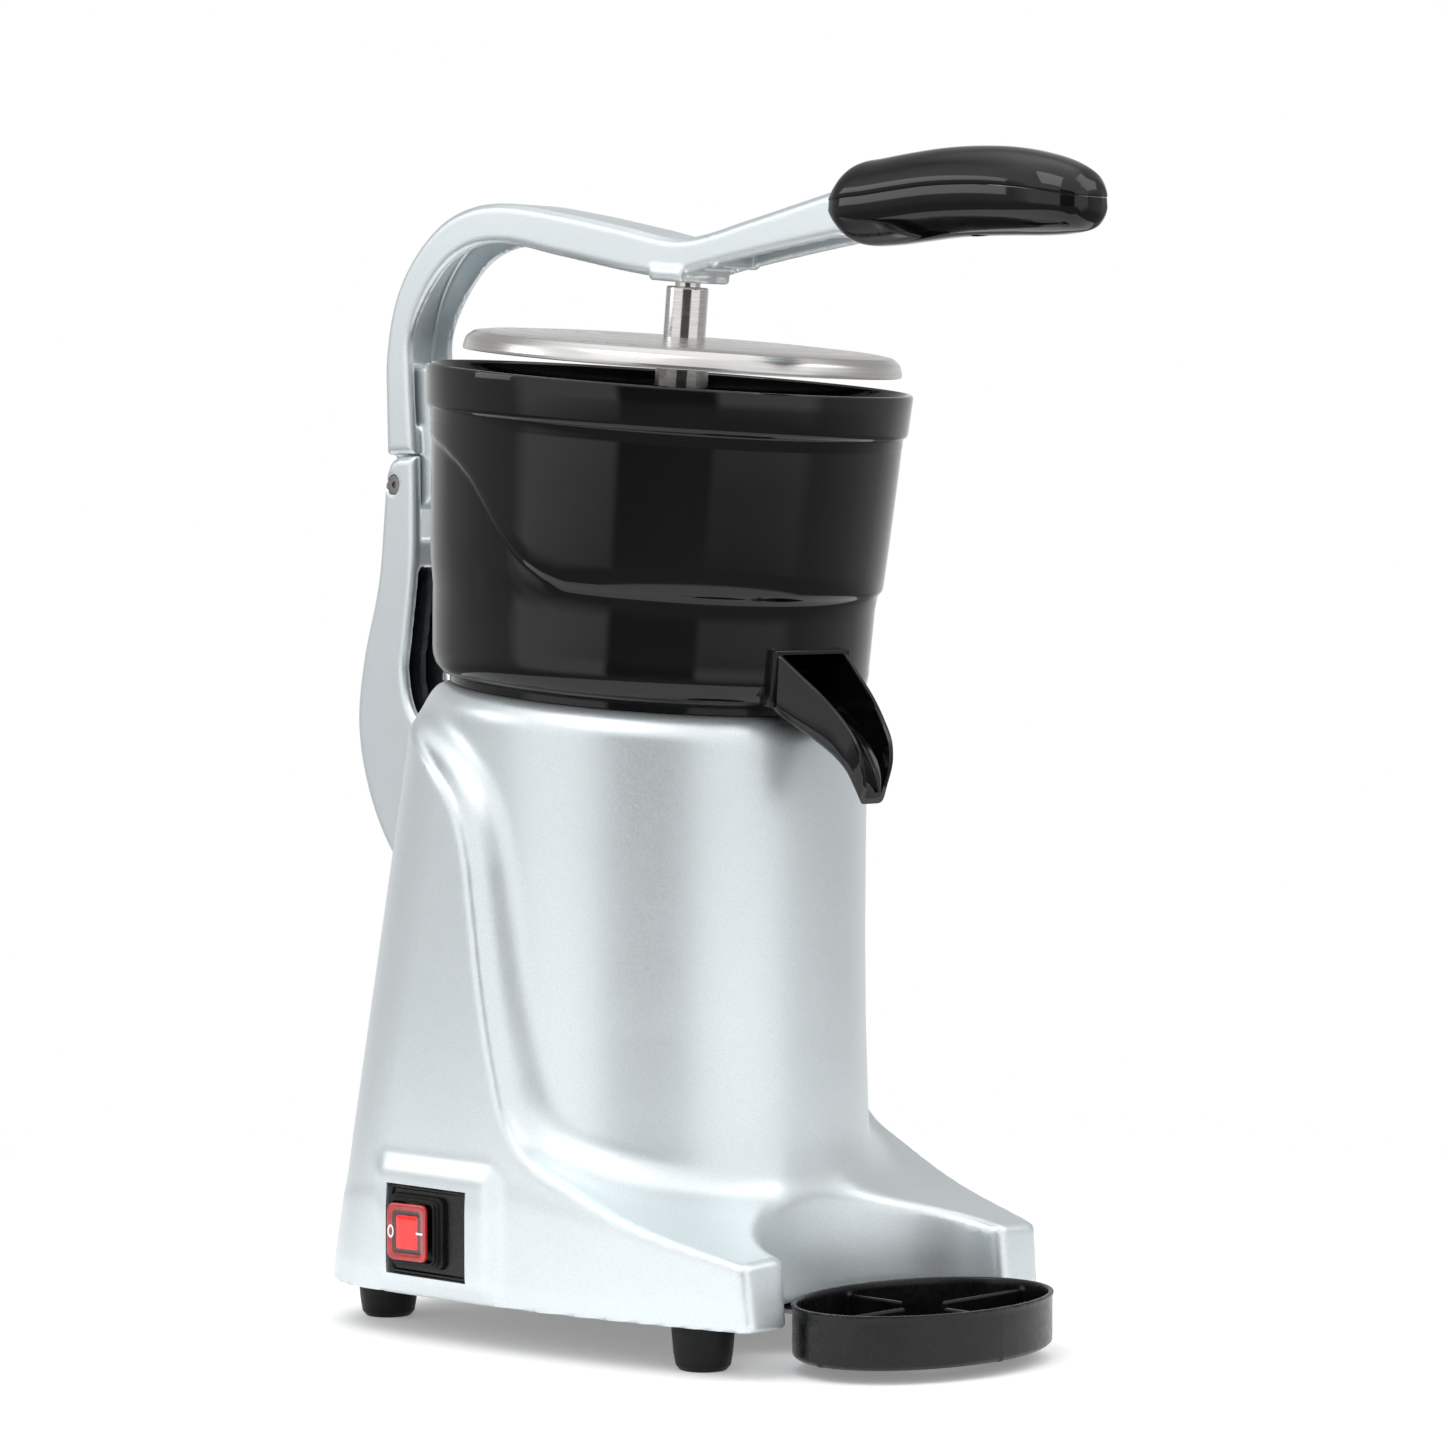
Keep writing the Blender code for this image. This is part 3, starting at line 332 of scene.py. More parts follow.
def cutter_box(low, high, place, bevel=0.0):
    bm = bmesh.new()
    bmesh.ops.create_cube(bm, size=1)
    size = [b - a for a, b in zip(low, high)]
    bmesh.ops.scale(bm, vec=size, verts=bm.verts)
    if bevel:
        bmesh.ops.bevel(bm, geom=bm.edges, offset=bevel, segments=3, affect="EDGES", profile=0.5)
    bmesh.ops.translate(bm, vec=[(a + b) / 2 for a, b in zip(low, high)], verts=bm.verts)
    return cutter_of(bm, place)


def cutter_rod(radius, low, high, place, sides=48):
    bm = bmesh.new()
    bmesh.ops.create_cone(bm, cap_ends=True, segments=sides, radius1=radius, radius2=radius,
                          depth=high - low, matrix=Matrix.Translation((0, 0, (low + high) / 2)))
    return cutter_of(bm, place)


def apply_booleans(obj, cutters, operation="DIFFERENCE", sharp=SHARP):
    """Cuts or joins the hidden shapes, leaves the result in the mesh and removes them."""
    for shape in cutters:
        step = obj.modifiers.new("step", "BOOLEAN")
        step.object = shape
        step.operation = operation
        step.solver = "EXACT"
    bpy.context.view_layer.update()
    graph = bpy.context.evaluated_depsgraph_get()
    result = bpy.data.meshes.new_from_object(obj.evaluated_get(graph))
    obj.modifiers.clear()
    old, obj.data = obj.data, result
    result.name = obj.name
    bpy.data.meshes.remove(old)
    for shape in cutters:
        bpy.data.objects.remove(shape)
    result.shade_smooth()
    result.set_sharp_from_angle(angle=radians(sharp))
    return obj


# ---------------------------------------------------------------- materials


class Nodes:
    """A short way to write the nodes of a material or a world."""

    def __init__(self, made):
        made.use_nodes = True
        self.made = made
        self.tree = made.node_tree
        self.coordinates = self.add("ShaderNodeTexCoord").outputs

    def add(self, kind, inputs=(), **settings):
        node = self.tree.nodes.new(kind)
        for key, value in settings.items():
            setattr(node, key, value)
        for key, value in dict(inputs).items():
            self.set(node.inputs[key], value)
        return node

    def set(self, socket, value):
        if isinstance(value, bpy.types.NodeSocket):
            self.tree.links.new(value, socket)
        else:
            socket.default_value = value

    def math(self, operation, *values):
        return self.add("ShaderNodeMath", dict(enumerate(values)), operation=operation).outputs[0]

    def vector(self, operation, output, *values):
        node = self.add("ShaderNodeVectorMath", dict(enumerate(values)), operation=operation)
        return node.outputs[output]

    def noise(self, size_mm, detail=2.0, stretch=(1, 1, 1), rough=0.5):
        """Noise whose grains are about that many millimetres across."""
        return self.noise_at(self.coordinates["Object"], [1000 / size_mm / s for s in stretch],
                             detail, rough)

    def noise_at(self, where, scale, detail, rough=0.5):
        mapping = self.add("ShaderNodeMapping", {"Vector": where, "Scale": scale})
        return self.add("ShaderNodeTexNoise", {"Vector": mapping.outputs[0], "Scale": 1.0,
                                               "Detail": detail, "Roughness": rough}).outputs["Fac"]

    def span(self, value, low, high, start=0.3, end=0.7):
        """Maps a value between two levels."""
        return self.add("ShaderNodeMapRange", {"Value": value, "From Min": start, "From Max": end,
                                               "To Min": low, "To Max": high}).outputs["Result"]

    def mix(self, share, first, second):
        node = self.add("ShaderNodeMix", data_type="RGBA")
        self.set(node.inputs[0], share)
        for socket, colour in ((node.inputs[6], first), (node.inputs[7], second)):
            self.set(socket, (*colour, 1) if isinstance(colour, tuple) else colour)
        return node.outputs[2]

    def bump(self, height, depth_mm, strength=1.0, after=None):
        node = self.add("ShaderNodeBump", {"Height": height, "Strength": strength,
                                           "Distance": depth_mm * MM})
        if after:
            self.set(node.inputs["Normal"], after)
        return node.outputs[0]

    def polar(self, place):
        """(radius, angle, height) round a leaning axis, in metres and turns."""
        back = self.add("ShaderNodeMapping", {"Vector": self.coordinates["Object"]},
                        vector_type="TEXTURE")
        back.inputs["Location"].default_value = place.translation
        back.inputs["Rotation"].default_value = place.to_euler()
        x, y, z = self.add("ShaderNodeSeparateXYZ", {"Vector": back.outputs[0]}).outputs
        squares = self.math("ADD", self.math("MULTIPLY", x, x), self.math("MULTIPLY", y, y))
        return self.add("ShaderNodeCombineXYZ", {"X": self.math("SQRT", squares),
                                                 "Y": self.math("ARCTAN2", y, x),
                                                 "Z": z}).outputs[0]

    def surface(self, **values):
        shader = self.tree.nodes["Principled BSDF"]
        for key, value in values.items():
            name = key.replace("_", " ").title().replace("Ior", "IOR")
            if isinstance(value, tuple) and len(value) == 3:
                value = (*value, 1)
            self.set(shader.inputs[name], value)
        return self.made


def material(name):
    return Nodes(bpy.data.materials.new(name))


def silver_paint():
    """Metallic paint: fine flakes, a slight orange peel and a thin clear coat."""
    n = material("silver_paint")
    flakes = n.span(n.noise(0.5, 3, rough=0.75), 0, 1, 0.32, 0.68)
    clouds = n.noise(28, 2)
    colour = n.mix(flakes, (0.66, 0.715, 0.735), (0.80, 0.855, 0.875))
    colour = n.mix(n.span(clouds, 0.0, 0.12), colour, (0.62, 0.665, 0.68))
    rough = n.span(n.noise(0.8, 2), 0.33, 0.42)
    peel = n.bump(n.noise(0.7, 3, rough=0.7), 0.015, 0.45)
    peel = n.bump(n.noise(2.2, 2), 0.03, 0.2, after=peel)
    return n.surface(base_color=colour, metallic=0.78, roughness=rough, normal=peel,
                     coat_weight=0.1, coat_roughness=0.3)


def black_gloss():
    """Polished black plastic with faint moulding waves."""
    n = material("black_gloss_plastic")
    colour = n.mix(n.span(n.noise(40, 2), 0, 1), (0.0025, 0.0025, 0.003), (0.0045, 0.004, 0.004))
    rough = n.span(n.noise(6, 3, rough=0.6), 0.05, 0.08)
    waves = n.bump(n.noise(26, 1, stretch=(1, 1, 2.5)), 0.04, 0.2)
    fine = n.bump(n.noise(0.5, 2), 0.003, 0.4, after=waves)
    return n.surface(base_color=colour, roughness=rough, normal=fine, specular_ior_level=0.42)


def turned_steel(name, shine):
    """Stainless steel brushed round the drive's axis; a lower shine value is glossier."""
    n = material(name)
    where = n.polar(DRIVE)
    lines = n.noise_at(where, [1 / size for size in (0.00035, 1.1, 0.00035)], 4.0, 0.65)
    broad = n.noise_at(where, (300, 0.6, 300), 2.0)
    colour = n.mix(n.span(lines, 0, 1), (0.56, 0.545, 0.53), (0.74, 0.725, 0.71))
    return n.surface(base_color=colour, metallic=1.0, roughness=n.span(broad, shine, shine + 0.1),
                     normal=n.bump(lines, 0.006, 0.35))


def copper_winding():
    """Varnished wire, its turns as fine bands round the drive axis."""
    n = material("copper_winding")
    bands = n.add("ShaderNodeTexWave", {"Vector": n.polar(DRIVE), "Scale": 320.0,
                                        "Distortion": 1.5, "Detail": 1.0}, wave_type="BANDS",
                  bands_direction="X").outputs["Fac"]
    colour = n.mix(bands, (0.22, 0.07, 0.03), (0.62, 0.28, 0.14))
    return n.surface(base_color=colour, metallic=0.8, roughness=0.35,
                     normal=n.bump(bands, 0.2, 0.8), coat_weight=0.5)


def clouded(name, colours, clouds, gloss, grain, **others):
    """A finish of two clouded colours with uneven gloss and a fine grain.

    clouds, gloss and grain each start with the size in millimetres and the detail of their
    noise; then come the noise's roughness, the two roughnesses, and the depth and strength.
    """
    n = material(name)
    size, detail, rough = clouds
    colour = n.mix(n.span(n.noise(size, detail, rough=rough), 0, 1), *colours)
    size, detail, low, high = gloss
    rough = n.span(n.noise(size, detail), low, high)
    size, detail, depth, strength = grain
    return n.surface(base_color=colour, roughness=rough,
                     normal=n.bump(n.noise(size, detail), depth, strength), **others)


def lens(name, colours, rough, **others):
    """Coloured moulded plastic of the rocker."""
    return clouded(name, colours, (4, 2, 0.5), (2, 2, rough, rough + 0.08), (3, 1, 0.03, 0.3),
                   coat_weight=0.6, coat_roughness=0.08, **others)


PAINT = silver_paint()
GLOSS = black_gloss()
SATIN = clouded("black_satin_plastic", [(0.003, 0.003, 0.0032), (0.006, 0.0058, 0.006)],
                (9, 3, 0.5), (3, 3, 0.22, 0.34), (0.45, 2, 0.012, 0.5), specular_ior_level=0.34)
RUBBER = clouded("black_rubber", [(0.004, 0.004, 0.0045), (0.008, 0.008, 0.009)],
                 (7, 4, 0.6), (2.5, 3, 0.4, 0.55), (0.35, 2, 0.02, 0.5), specular_ior_level=0.22)
DARK_STEEL = clouded("dark_steel", [(0.17, 0.17, 0.18), (0.32, 0.315, 0.30)],
                     (5, 4, 0.6), (2, 3, 0.32, 0.5), (0.6, 2, 0.01, 0.5), metallic=0.95)
# painted shade: a near-black material that stands in for the shade deep inside the rear post's hollow
PAINTED_SHADE_HOLLOW = clouded("painted_shade_hollow", [(0.022, 0.025, 0.030), (0.045, 0.050, 0.058)],
                      (5, 3, 0.5), (2, 3, 0.5, 0.65), (0.8, 3, 0.03, 0.5), metallic=0.2)
ALUMINIUM = clouded("cast_aluminium", [(0.52, 0.53, 0.54), (0.68, 0.69, 0.70)],
                    (6, 4, 0.5), (2, 3, 0.34, 0.5), (0.8, 3, 0.03, 0.5), metallic=1.0)
WHITE = clouded("white_plastic", [(0.66, 0.66, 0.63), (0.76, 0.76, 0.74)],
                (8, 3, 0.5), (3, 2, 0.35, 0.5), (0.6, 2, 0.01, 0.4))
ROUND_STEEL = turned_steel("turned_steel", 0.2)
SHAFT_STEEL = turned_steel("ground_steel", 0.09)
COPPER = copper_winding()
RED = lens("red_lens", [(0.36, 0.012, 0.012), (0.50, 0.03, 0.03)], 0.12)
RED_WINDOW = lens("red_window", [(0.62, 0.006, 0.006), (0.80, 0.02, 0.018)], 0.10,
                  emission_color=(0.9, 0.02, 0.02), emission_strength=0.25)
DARK_RING = lens("dark_ring", [(0.045, 0.012, 0.012), (0.07, 0.02, 0.02)], 0.2)
MARK = lens("white_mark", [(0.80, 0.80, 0.80), (0.86, 0.86, 0.86)], 0.3)

SLOT_FINISHES = {
    "silver_paint": PAINT, "black_gloss_plastic": GLOSS, "black_satin_plastic": SATIN,
    "black_rubber": RUBBER, "brushed_steel": ROUND_STEEL, "dark_steel": DARK_STEEL,
    "cast_aluminium": ALUMINIUM, "copper_winding": COPPER, "red_lens": RED,
    "white_plastic": WHITE,
}


def finish_cad_nodes():
    """Gives each CAD node the finish of its slot."""
    for part in frame["record"]["subparts"]:
        node = frame["nodes"][part["node"]]
        node.data.materials.clear()
        node.data.materials.append(SLOT_FINISHES[part["material_slot"]])


finish_cad_nodes()

# ---------------------------------------------------------------- housing

COLUMN_RADIUS, COLUMN_Y = 86.7, 12.0
WALL = 3.5
HEAD_TOP = -124.0
HALF_WIDTH, STRAIGHT_TO_Y = 99.8, 10.0
SIDE_CURVE, SIDE_POWER = 0.0037, 1.744  # how the sides draw in ahead of STRAIGHT_TO_Y
BLEND, TOP_EDGE, SWEEP_EDGE = 13.0, 10.0, 3.6  # rounding of the column's foot, top and base
REAR_CORNER, CORNER_LEVEL, CORNER_TAPER = 57.0, -202.0, 0.046
REAR_LEAN = radians(10.4)
REAR_AT = (89.2, -189.0)
NOTCH_RADII, NOTCH_Y = (58.8, 40.0), -118.8
SKIRT_FRONT, SKIRT_REAR = (-120.3, -354.2), (120.4, -355.6)
FRONT_AT, FRONT_RUN, FRONT_RISE = (-119.8, -330.2), 2.0, 23.2  # a near-upright front face
REAR_FOOT_AT, FOOT_ROOM = (60.5, 99.0), 13.1  # the rear feet start in hollows of this radius
SWITCH_AT, SWITCH_FACE = (30.4, -329.4), -100.9
SWITCH_BOSS = ((-102.3, -4.6, -351.4), (-90, 60, -304))
SWEEP = [
    (-190, -349, CORNER), (-118.3, -330.2), (-74.4, -319.2), (-37.8, -305.1), (-19, -295.6),
    (-10.5, -284.6), (-4.5, -266.2), (1.9, -238.1), (7.9, -200.4), (10.6, -184), (18, -163.2),
    (30.3, -150), (46, -140.5), (64, -134.5), (90, -131, CORNER),
]


def rear_distance(y, z):
    """How far a point is outside the sloping rear face."""
    return (y - REAR_AT[0]) * cos(REAR_LEAN) + (z - REAR_AT[1]) * sin(REAR_LEAN)


def housing_field(inset):
    """The housing's outer shape, or its hollow when inset by the wall."""
    sweep = curve(SWEEP + [(200, -131, CORNER), (200, -420, CORNER), (-190, -420, CORNER)])
    flare = curve([(0, -90, CORNER), (COLUMN_RADIUS, -90, CORNER), (COLUMN_RADIUS, -284),
                   (88.2, -302), (92, -313), (100, -320.5), (115, -327), (150, -336, CORNER),
                   (0, -350, CORNER)], steps=6)
    slope = (SKIRT_REAR[1] - SKIRT_FRONT[1]) / (SKIRT_REAR[0] - SKIRT_FRONT[0])
    edge = 0.5 if inset else SWEEP_EDGE
    front_length = sqrt(FRONT_RUN**2 + FRONT_RISE**2)

    def field(x, y, z):
        top = z * COS - y * SIN - HEAD_TOP
        rear = rear_distance(y, z)
        ahead = np.maximum(STRAIGHT_TO_Y - y, 0)
        wall = abs(x) - HALF_WIDTH + SIDE_CURVE * ahead**SIDE_POWER
        sides = round_common(wall, rear, REAR_CORNER + CORNER_TAPER * (z - CORNER_LEVEL))
        front = ((FRONT_AT[0] - y) * FRONT_RISE + (z - FRONT_AT[1]) * FRONT_RUN) / front_length
        below = SKIRT_FRONT[1] + slope * (y - SKIRT_FRONT[0]) - z
        column = inside_outline(flare, np.hypot(x, y - COLUMN_Y), z)
        base = round_common(inside_outline(sweep, y, z) + inset, sides + inset, edge)
        body = round_union(column + inset, base, BLEND)
        body = round_common(body, sides + inset, 1.5)
        if not inset:
            body = round_union(body, brick(x, y, z, *SWITCH_BOSS, 5), 6)
        body = round_common(body, front + inset, 3)
        body = round_common(body, top + inset, TOP_EDGE)
        body = round_common(body, -(oval(x, y - NOTCH_Y, NOTCH_RADII) - inset), 5)
        return round_common(body, below - 3 * inset, 1.6)

    return field


def housing():
    shell = add_skin("housing_casting", housing_field(0), (-106, -126, -360), (103, 126, -100), 2.1,
                     MACHINE, "frame", PAINT, ["housing"])
    hollow = skin(housing_field(WALL), (-103, -126, -372), (103, 126, -100), 4.5)
    y, z = SWITCH_AT
    cutters = [cutter(closed_mesh("hollow", *hollow, MACHINE)),
               cutter_box((-115, y - 22.5, z - 17.5), (-85, y + 22.5, z + 17.5), MACHINE),
               cutter_rod(20, HEAD_TOP - 12, HEAD_TOP + 12, DRIVE)]
    for side in (-1, 1):
        foot = Matrix.Translation((side * REAR_FOOT_AT[0] * MM, REAR_FOOT_AT[1] * MM, 0))
        cutters.append(cutter_rod(FOOT_ROOM, -375, -350.5, MACHINE @ foot))
    return apply_booleans(shell, cutters, sharp=CAST_SHARP)


housing()

# ---------------------------------------------------------------- bowl

RIM_RADIUS, BOWL_FLOOR, CREASE_LEVEL = 95.0, -116.0, -77.6
DRAFT = 1.007  # the moulding stands this much outside its nominal radii
CREASE = [
    # degrees round from the front, height of the crease
    (0, CREASE_LEVEL), (60, CREASE_LEVEL), (68, -77.4), (74, -74.6), (79, -70.6), (83, -66.0),
    (89, -57.2), (94, -48.8), (99, -41.2), (105, -36.0), (113, -31.6), (125, -28.6), (180, -27.4),
]


WALL_LEVELS = (-111, -102, -83, -78, -64, -45, -24)
WALL_RADII = (85.6, 86.2, 87.2, 88.4, 89.4, 90.5, 91.7)
STEP_IN = 1.1  # how far the wall steps in under the crease


def wall_radius(h):
    """The bowl's outer radius at a height."""
    return np.interp(h, WALL_LEVELS, WALL_RADII)


def bowl_body():
    """A turned shell whose crease swings up at both sides; each row of points follows it."""
    steps, levels = 288, 8
    inside = [(0, BOWL_FLOOR), (76, BOWL_FLOOR), (79.6, BOWL_FLOOR + 1.5), (81.4, BOWL_FLOOR + 5),
              (84.4, -90), (86.2, -74), (88.0, -45), (89.0, -24), (90.6, -20), (91.8, -16.5),
              (92.3, -8), (92.5, -1.2), (92.8, -0.4), (93.3, 0)]
    collar = [(94.2, 0), (94.8, -0.5), (RIM_RADIUS, -1.3), (94.6, -7), (94.1, -14.5), (93.9, -15.9),
              (93.4, -16.6), (92.5, -17.1), (92.25, -17.8), (92.2, -20.4), (92.0, -21.3)]
    foot = [(85.7, -110), (85.3, -113.5), (84.3, -116.6), (82.6, -119), (80.4, -120.4),
            (78.6, -120.7), (78.0, -121.2), (78.0, HEAD_TOP + 0.3), (74, HEAD_TOP + 0.3),
            (74, BOWL_FLOOR - 2.6), (0, BOWL_FLOOR - 2.6)]
    lines = []
    for i in range(steps):
        turn = 360 * i / steps
        crease = float(np.interp(min(turn, 360 - turn), *zip(*CREASE)))
        inwards = STEP_IN * min(1.0, (-24 - crease) / 12)
        line = inside + collar
        for h in np.linspace(-22.3, crease + 1.4, levels):
            line.append((wall_radius(h) + 0.25, h))
        line += [(wall_radius(crease + 0.5), crease + 0.4),
                 (wall_radius(crease) - inwards * 0.75, crease - 0.8),
                 (wall_radius(crease - 2) - inwards, crease - 1.8)]
        for h in np.linspace(crease - 3.4, -108, levels):
            line.append((wall_radius(h) - inwards * max(0.0, 1 - (crease - h) / 40), h))
        across, along = DRAFT * sin(radians(turn)), -DRAFT * cos(radians(turn))
        lines.append([(across * r, along * r, h) for r, h in line + foot])
    return [list(ring) for ring in zip(*lines)]


SPOUT = [
    # top edge (y, z), bottom (y, z), half width, in the machine's frame
    ((-66, -99), (-62, -121.5), 19.7), ((-74.7, -105.8), (-71.5, -129), 19.7),
    ((-86.2, -115.7), (-82.5, -136), 17.0), ((-95.4, -123.8), (-90, -140.8), 14.6),
    ((-103.7, -132.9), (-97, -146.5), 12.0), ((-108.4, -140.2), (-102, -152), 10.7),
    ((-110.2, -147.7), (-105, -157.5), 9.2), ((-109.3, -157.5), (-107.3, -163.2), 6.6),
]


def spout_channel():
    """A U-shaped channel through the stations, with rounded lips."""
    wall, steps = 2.2, 6
    tops = curve([s[0] for s in SPOUT], steps, closed=False)
    lows = curve([s[1] for s in SPOUT], steps, closed=False)
    halves = curve([(i, s[2]) for i, s in enumerate(SPOUT)], steps, closed=False)[:, 1]
    rings = []
    for top, low, half in zip(tops, lows, halves):
        depth = np.linalg.norm(low - top)
        down = (low - top) / depth
        bend = min(6.5, half * 0.62)
        outer = rounded([(-half, 0), (-half, depth, bend), (half, depth, bend), (half, 0)], 6)
        inner = rounded([(half - wall, 0), (half - wall, depth - wall, bend - 1),
                         (wall - half, depth - wall, bend - 1), (wall - half, 0)], 6)
        lip = [(half - 0.35, -0.6), (half - wall / 2, -0.8), (half - wall + 0.35, -0.6)]
        other = [(-x, d) for x, d in reversed(lip)]
        rings.append([(x, top[0] + down[0] * d, top[1] + down[1] * d)
                      for x, d in outer + lip + inner + other])
    return tube("spout", rings, MACHINE)


def bowl():
    rings = bowl_body()
    points = [p for ring in rings for p in ring]
    mesh = closed_mesh("bowl", points, ring_faces(len(rings), len(rings[0])), HEAD)
    shell = add_mesh("juice_bowl", mesh, "frame", GLOSS, ["bowl"])
    frame_plate = cutter_box((-20.9, -87.5, BOWL_FLOOR - 3.2), (20.9, -78, -97.4), HEAD, 0.6)
    boss = cutter_rod(12, BOWL_FLOOR - 1.5, -98, DRIVE, 64)
    apply_booleans(shell, [frame_plate, cutter(spout_channel()), boss], "UNION")
    mouth = cutter_box((-17.5, -89, BOWL_FLOOR), (17.5, -70, -99), HEAD, 1.5)
    return apply_booleans(shell, [mouth, cutter_rod(9, -130, -90, DRIVE)], sharp=32)


bowl()

# ---------------------------------------------------------------- lever arm and post

ARM_TOP = [
    (153.2, -28.3, CORNER), (153.7, -10), (153.7, 12), (147.6, 36), (136.4, 52.3), (118.8, 65.8),
    (101, 71.2), (83.7, 71.8), (48.8, 66.6), (12, 59.2), (-14, 53.9), (-27, 54.1), (-51, 58.5),
    (-104, 68.9, CORNER),
]
ARM_LOW = [
    (-104, 50.6, CORNER), (-61.5, 45.5), (-29.3, 41.0), (-12, 38.3), (3.6, 40.1), (50.6, 49.2),
    (83.7, 55.4), (101.5, 54.5), (116.4, 48.3), (130.4, 34.5), (138.2, 20), (138.4, 6.2),
    (136.2, -28.3, CORNER),
]
ARM_HALF, ARM_WALL = 13.0, 3.5


def lever_arm():
    side = curve(ARM_TOP + ARM_LOW)
    rear_hollow = curve([(2, 24, CORNER), (8, 53.6, CORNER), (48.8, 62.3), (83.7, 67.6), (101, 67.0),
                         (117, 61.8), (133.5, 49.3), (143.6, 33.8), (149, 12), (149, -3),
                         (146, -14), (136, -18, CORNER), (118, -18, CORNER)])
    front_hollow = curve([(-99, 30, CORNER), (-99, 63.4, CORNER), (-51, 54.2), (-31, 50.4),
                          (-24, 30, CORNER)])
    tongue = curve([(128, 8, CORNER), (129, -42), (134, -48.5), (142, -50.5), (149, -49.6),
                    (152, -46), (153, -36), (152.4, -26), (150, 8, CORNER)])
    pocket = curve([(98, 40, CORNER), (103, 52.5, CORNER), (118, 44.5), (133, 27, CORNER),
                    (124, 22, CORNER)])

    def field(x, y, z):
        wide = abs(x)
        outline = inside_outline(side, y, z)
        body = round_common(outline, wide - ARM_HALF, 3.0)
        rear = round_common(inside_outline(rear_hollow, y, z), wide - ARM_HALF + ARM_WALL, 2.0)
        front = round_common(inside_outline(front_hollow, y, z), wide - ARM_HALF + ARM_WALL, 2.0)
        body = minus(minus(body, rear, 1.2), front, 1.2)
        web = round_common(np.maximum(inside_outline(pocket, y, z), outline + 1.8), wide - 1.6, 0.8)
        height = z * COS - y * SIN
        ahead = y * COS + z * SIN + DRIVE_AHEAD
        pad = brick(x, ahead, height, (-13.6, -10, 37.9), (13.6, 9, 43), 1.6)
        boss = round_common(np.hypot(x, ahead) - 11, np.maximum(height - 50, 37.9 - height), 1.0)
        rib = brick(x, y, z, (-12, -37, 41.5), (12, -34, 54), 0.8)
        body = round_union(body, np.minimum(pad, boss), 1.5)
        body = round_union(body, np.minimum(web, rib), 1.5)
        ear = round_common(inside_outline(tongue, y, z), wide - 7.7, 1.5)
        body = round_union(body, ear, 1.5)
        pin = np.hypot(y - PIN_AT[0], z - PIN_AT[1])
        return minus(body, pin - 4.1, 0.4)

    return add_skin("cast_arm", field, (-15, -107, -54), (15, 157, 75), 1.15, MACHINE, "lever",
                    PAINT, ["lever_arm"])


lever_arm()

POST = [
    (136.0, -28.9, CORNER), (135.7, -47), (136.2, -72), (140.6, -104), (142.3, -117),
    (137, -134.5), (120, -146.5), (78, -152, CORNER), (90, -222, CORNER), (112, -220),
    (135, -208), (154.5, -188), (166.9, -163.7), (171.8, -139), (168.6, -114), (159.1, -80.7),
    (155.2, -47.7), (154.0, -38), (150.5, -31), (145.5, -28.9, CORNER),
]


def rear_post():
    side = curve(POST)
    hollow = curve([(125, -75, CORNER), (140, -75), (148.5, -77), (152.5, -90), (159.5, -110),
                    (163.5, -132), (161, -148), (152, -160), (138, -160), (120, -140, CORNER)])
    ridge = curve([(140, -70, CORNER), (146.5, -70, CORNER), (156, -135, CORNER),
                   (146, -165, CORNER)])

    def field(x, y, z):
        wide = abs(x)
        body = round_common(inside_outline(side, y, z), wide - ARM_HALF, 3.2)
        body = round_common(body, -rear_distance(y, z) + 0.3, 0.8)
        slot = brick(x, y, z, (-8.6, 100, -64), (8.6, 190, 0), 1.0)
        room = round_common(inside_outline(hollow, y, z), wide - 9, 2.5)
        body = minus(minus(body, slot, 1.0), room, 1.2)
        rib = round_common(inside_outline(ridge, y, z) - 1.5, wide - 1.4, 1.0)
        body = round_union(body, np.maximum(rib, inside_outline(side, y, z) + 2), 1.2)
        pin = np.hypot(y - PIN_AT[0], z - PIN_AT[1])
        slots = np.minimum(*(brick(x, y, z, (-5, 120, level - 2), (5, 141, level + 2), 0.5)
                             for level in (-51.4, -58)))
        body = minus(body, slots, 0.4)
        return minus(body, pin - 4.1, 0.7)

    points, faces = skin(field, (-15, 86, -228), (15, 176, -25), 1.15)
    mesh = mesh_of("cast_post", points, faces, MACHINE)
    mesh.validate()
    middles = np.array([points[list(face)].mean(axis=0) for face in faces])
    # the faces inside the post's hollow get the dark painted-shade material in place of real shade
    shaded_faces = (inside_outline(hollow, *middles.T[1:]) < 0.4) & (abs(middles[:, 0]) < 9.3)
    for polygon, hidden in zip(mesh.polygons, shaded_faces):
        polygon.material_index = int(hidden)
    return add_mesh("cast_post", mesh, "frame", [PAINT, PAINTED_SHADE_HOLLOW], ["rear_post"],
                    CAST_SHARP)


rear_post()

# ---------------------------------------------------------------- grip

GRIP = [
    # distance forward, middle height, half width, half height
    (-96.8, 62.2, 12.6, 5.2), (-97.3, 62.3, 13.6, 7.0), (-99.6, 62.4, 15.0, 10.6),
    (-103.0, 62.6, 16.4, 13.8), (-107, 62.9, 17.1, 15.6), (-118, 63.3, 17.5, 16.4),
    (-134, 64.4, 17.6, 16.7), (-150, 65.2, 17.6, 16.7), (-166, 65.0, 17.6, 16.6),
    (-181, 64.1, 17.5, 16.2), (-194, 62.6, 17.1, 15.2), (-205, 61.0, 15.6, 13.4),
    (-212.4, 59.6, 12.6, 10.9), (-215.8, 59.0, 8.8, 7.6), (-217.2, 58.8, 4.2, 3.6),
]
PARTING = 1.5


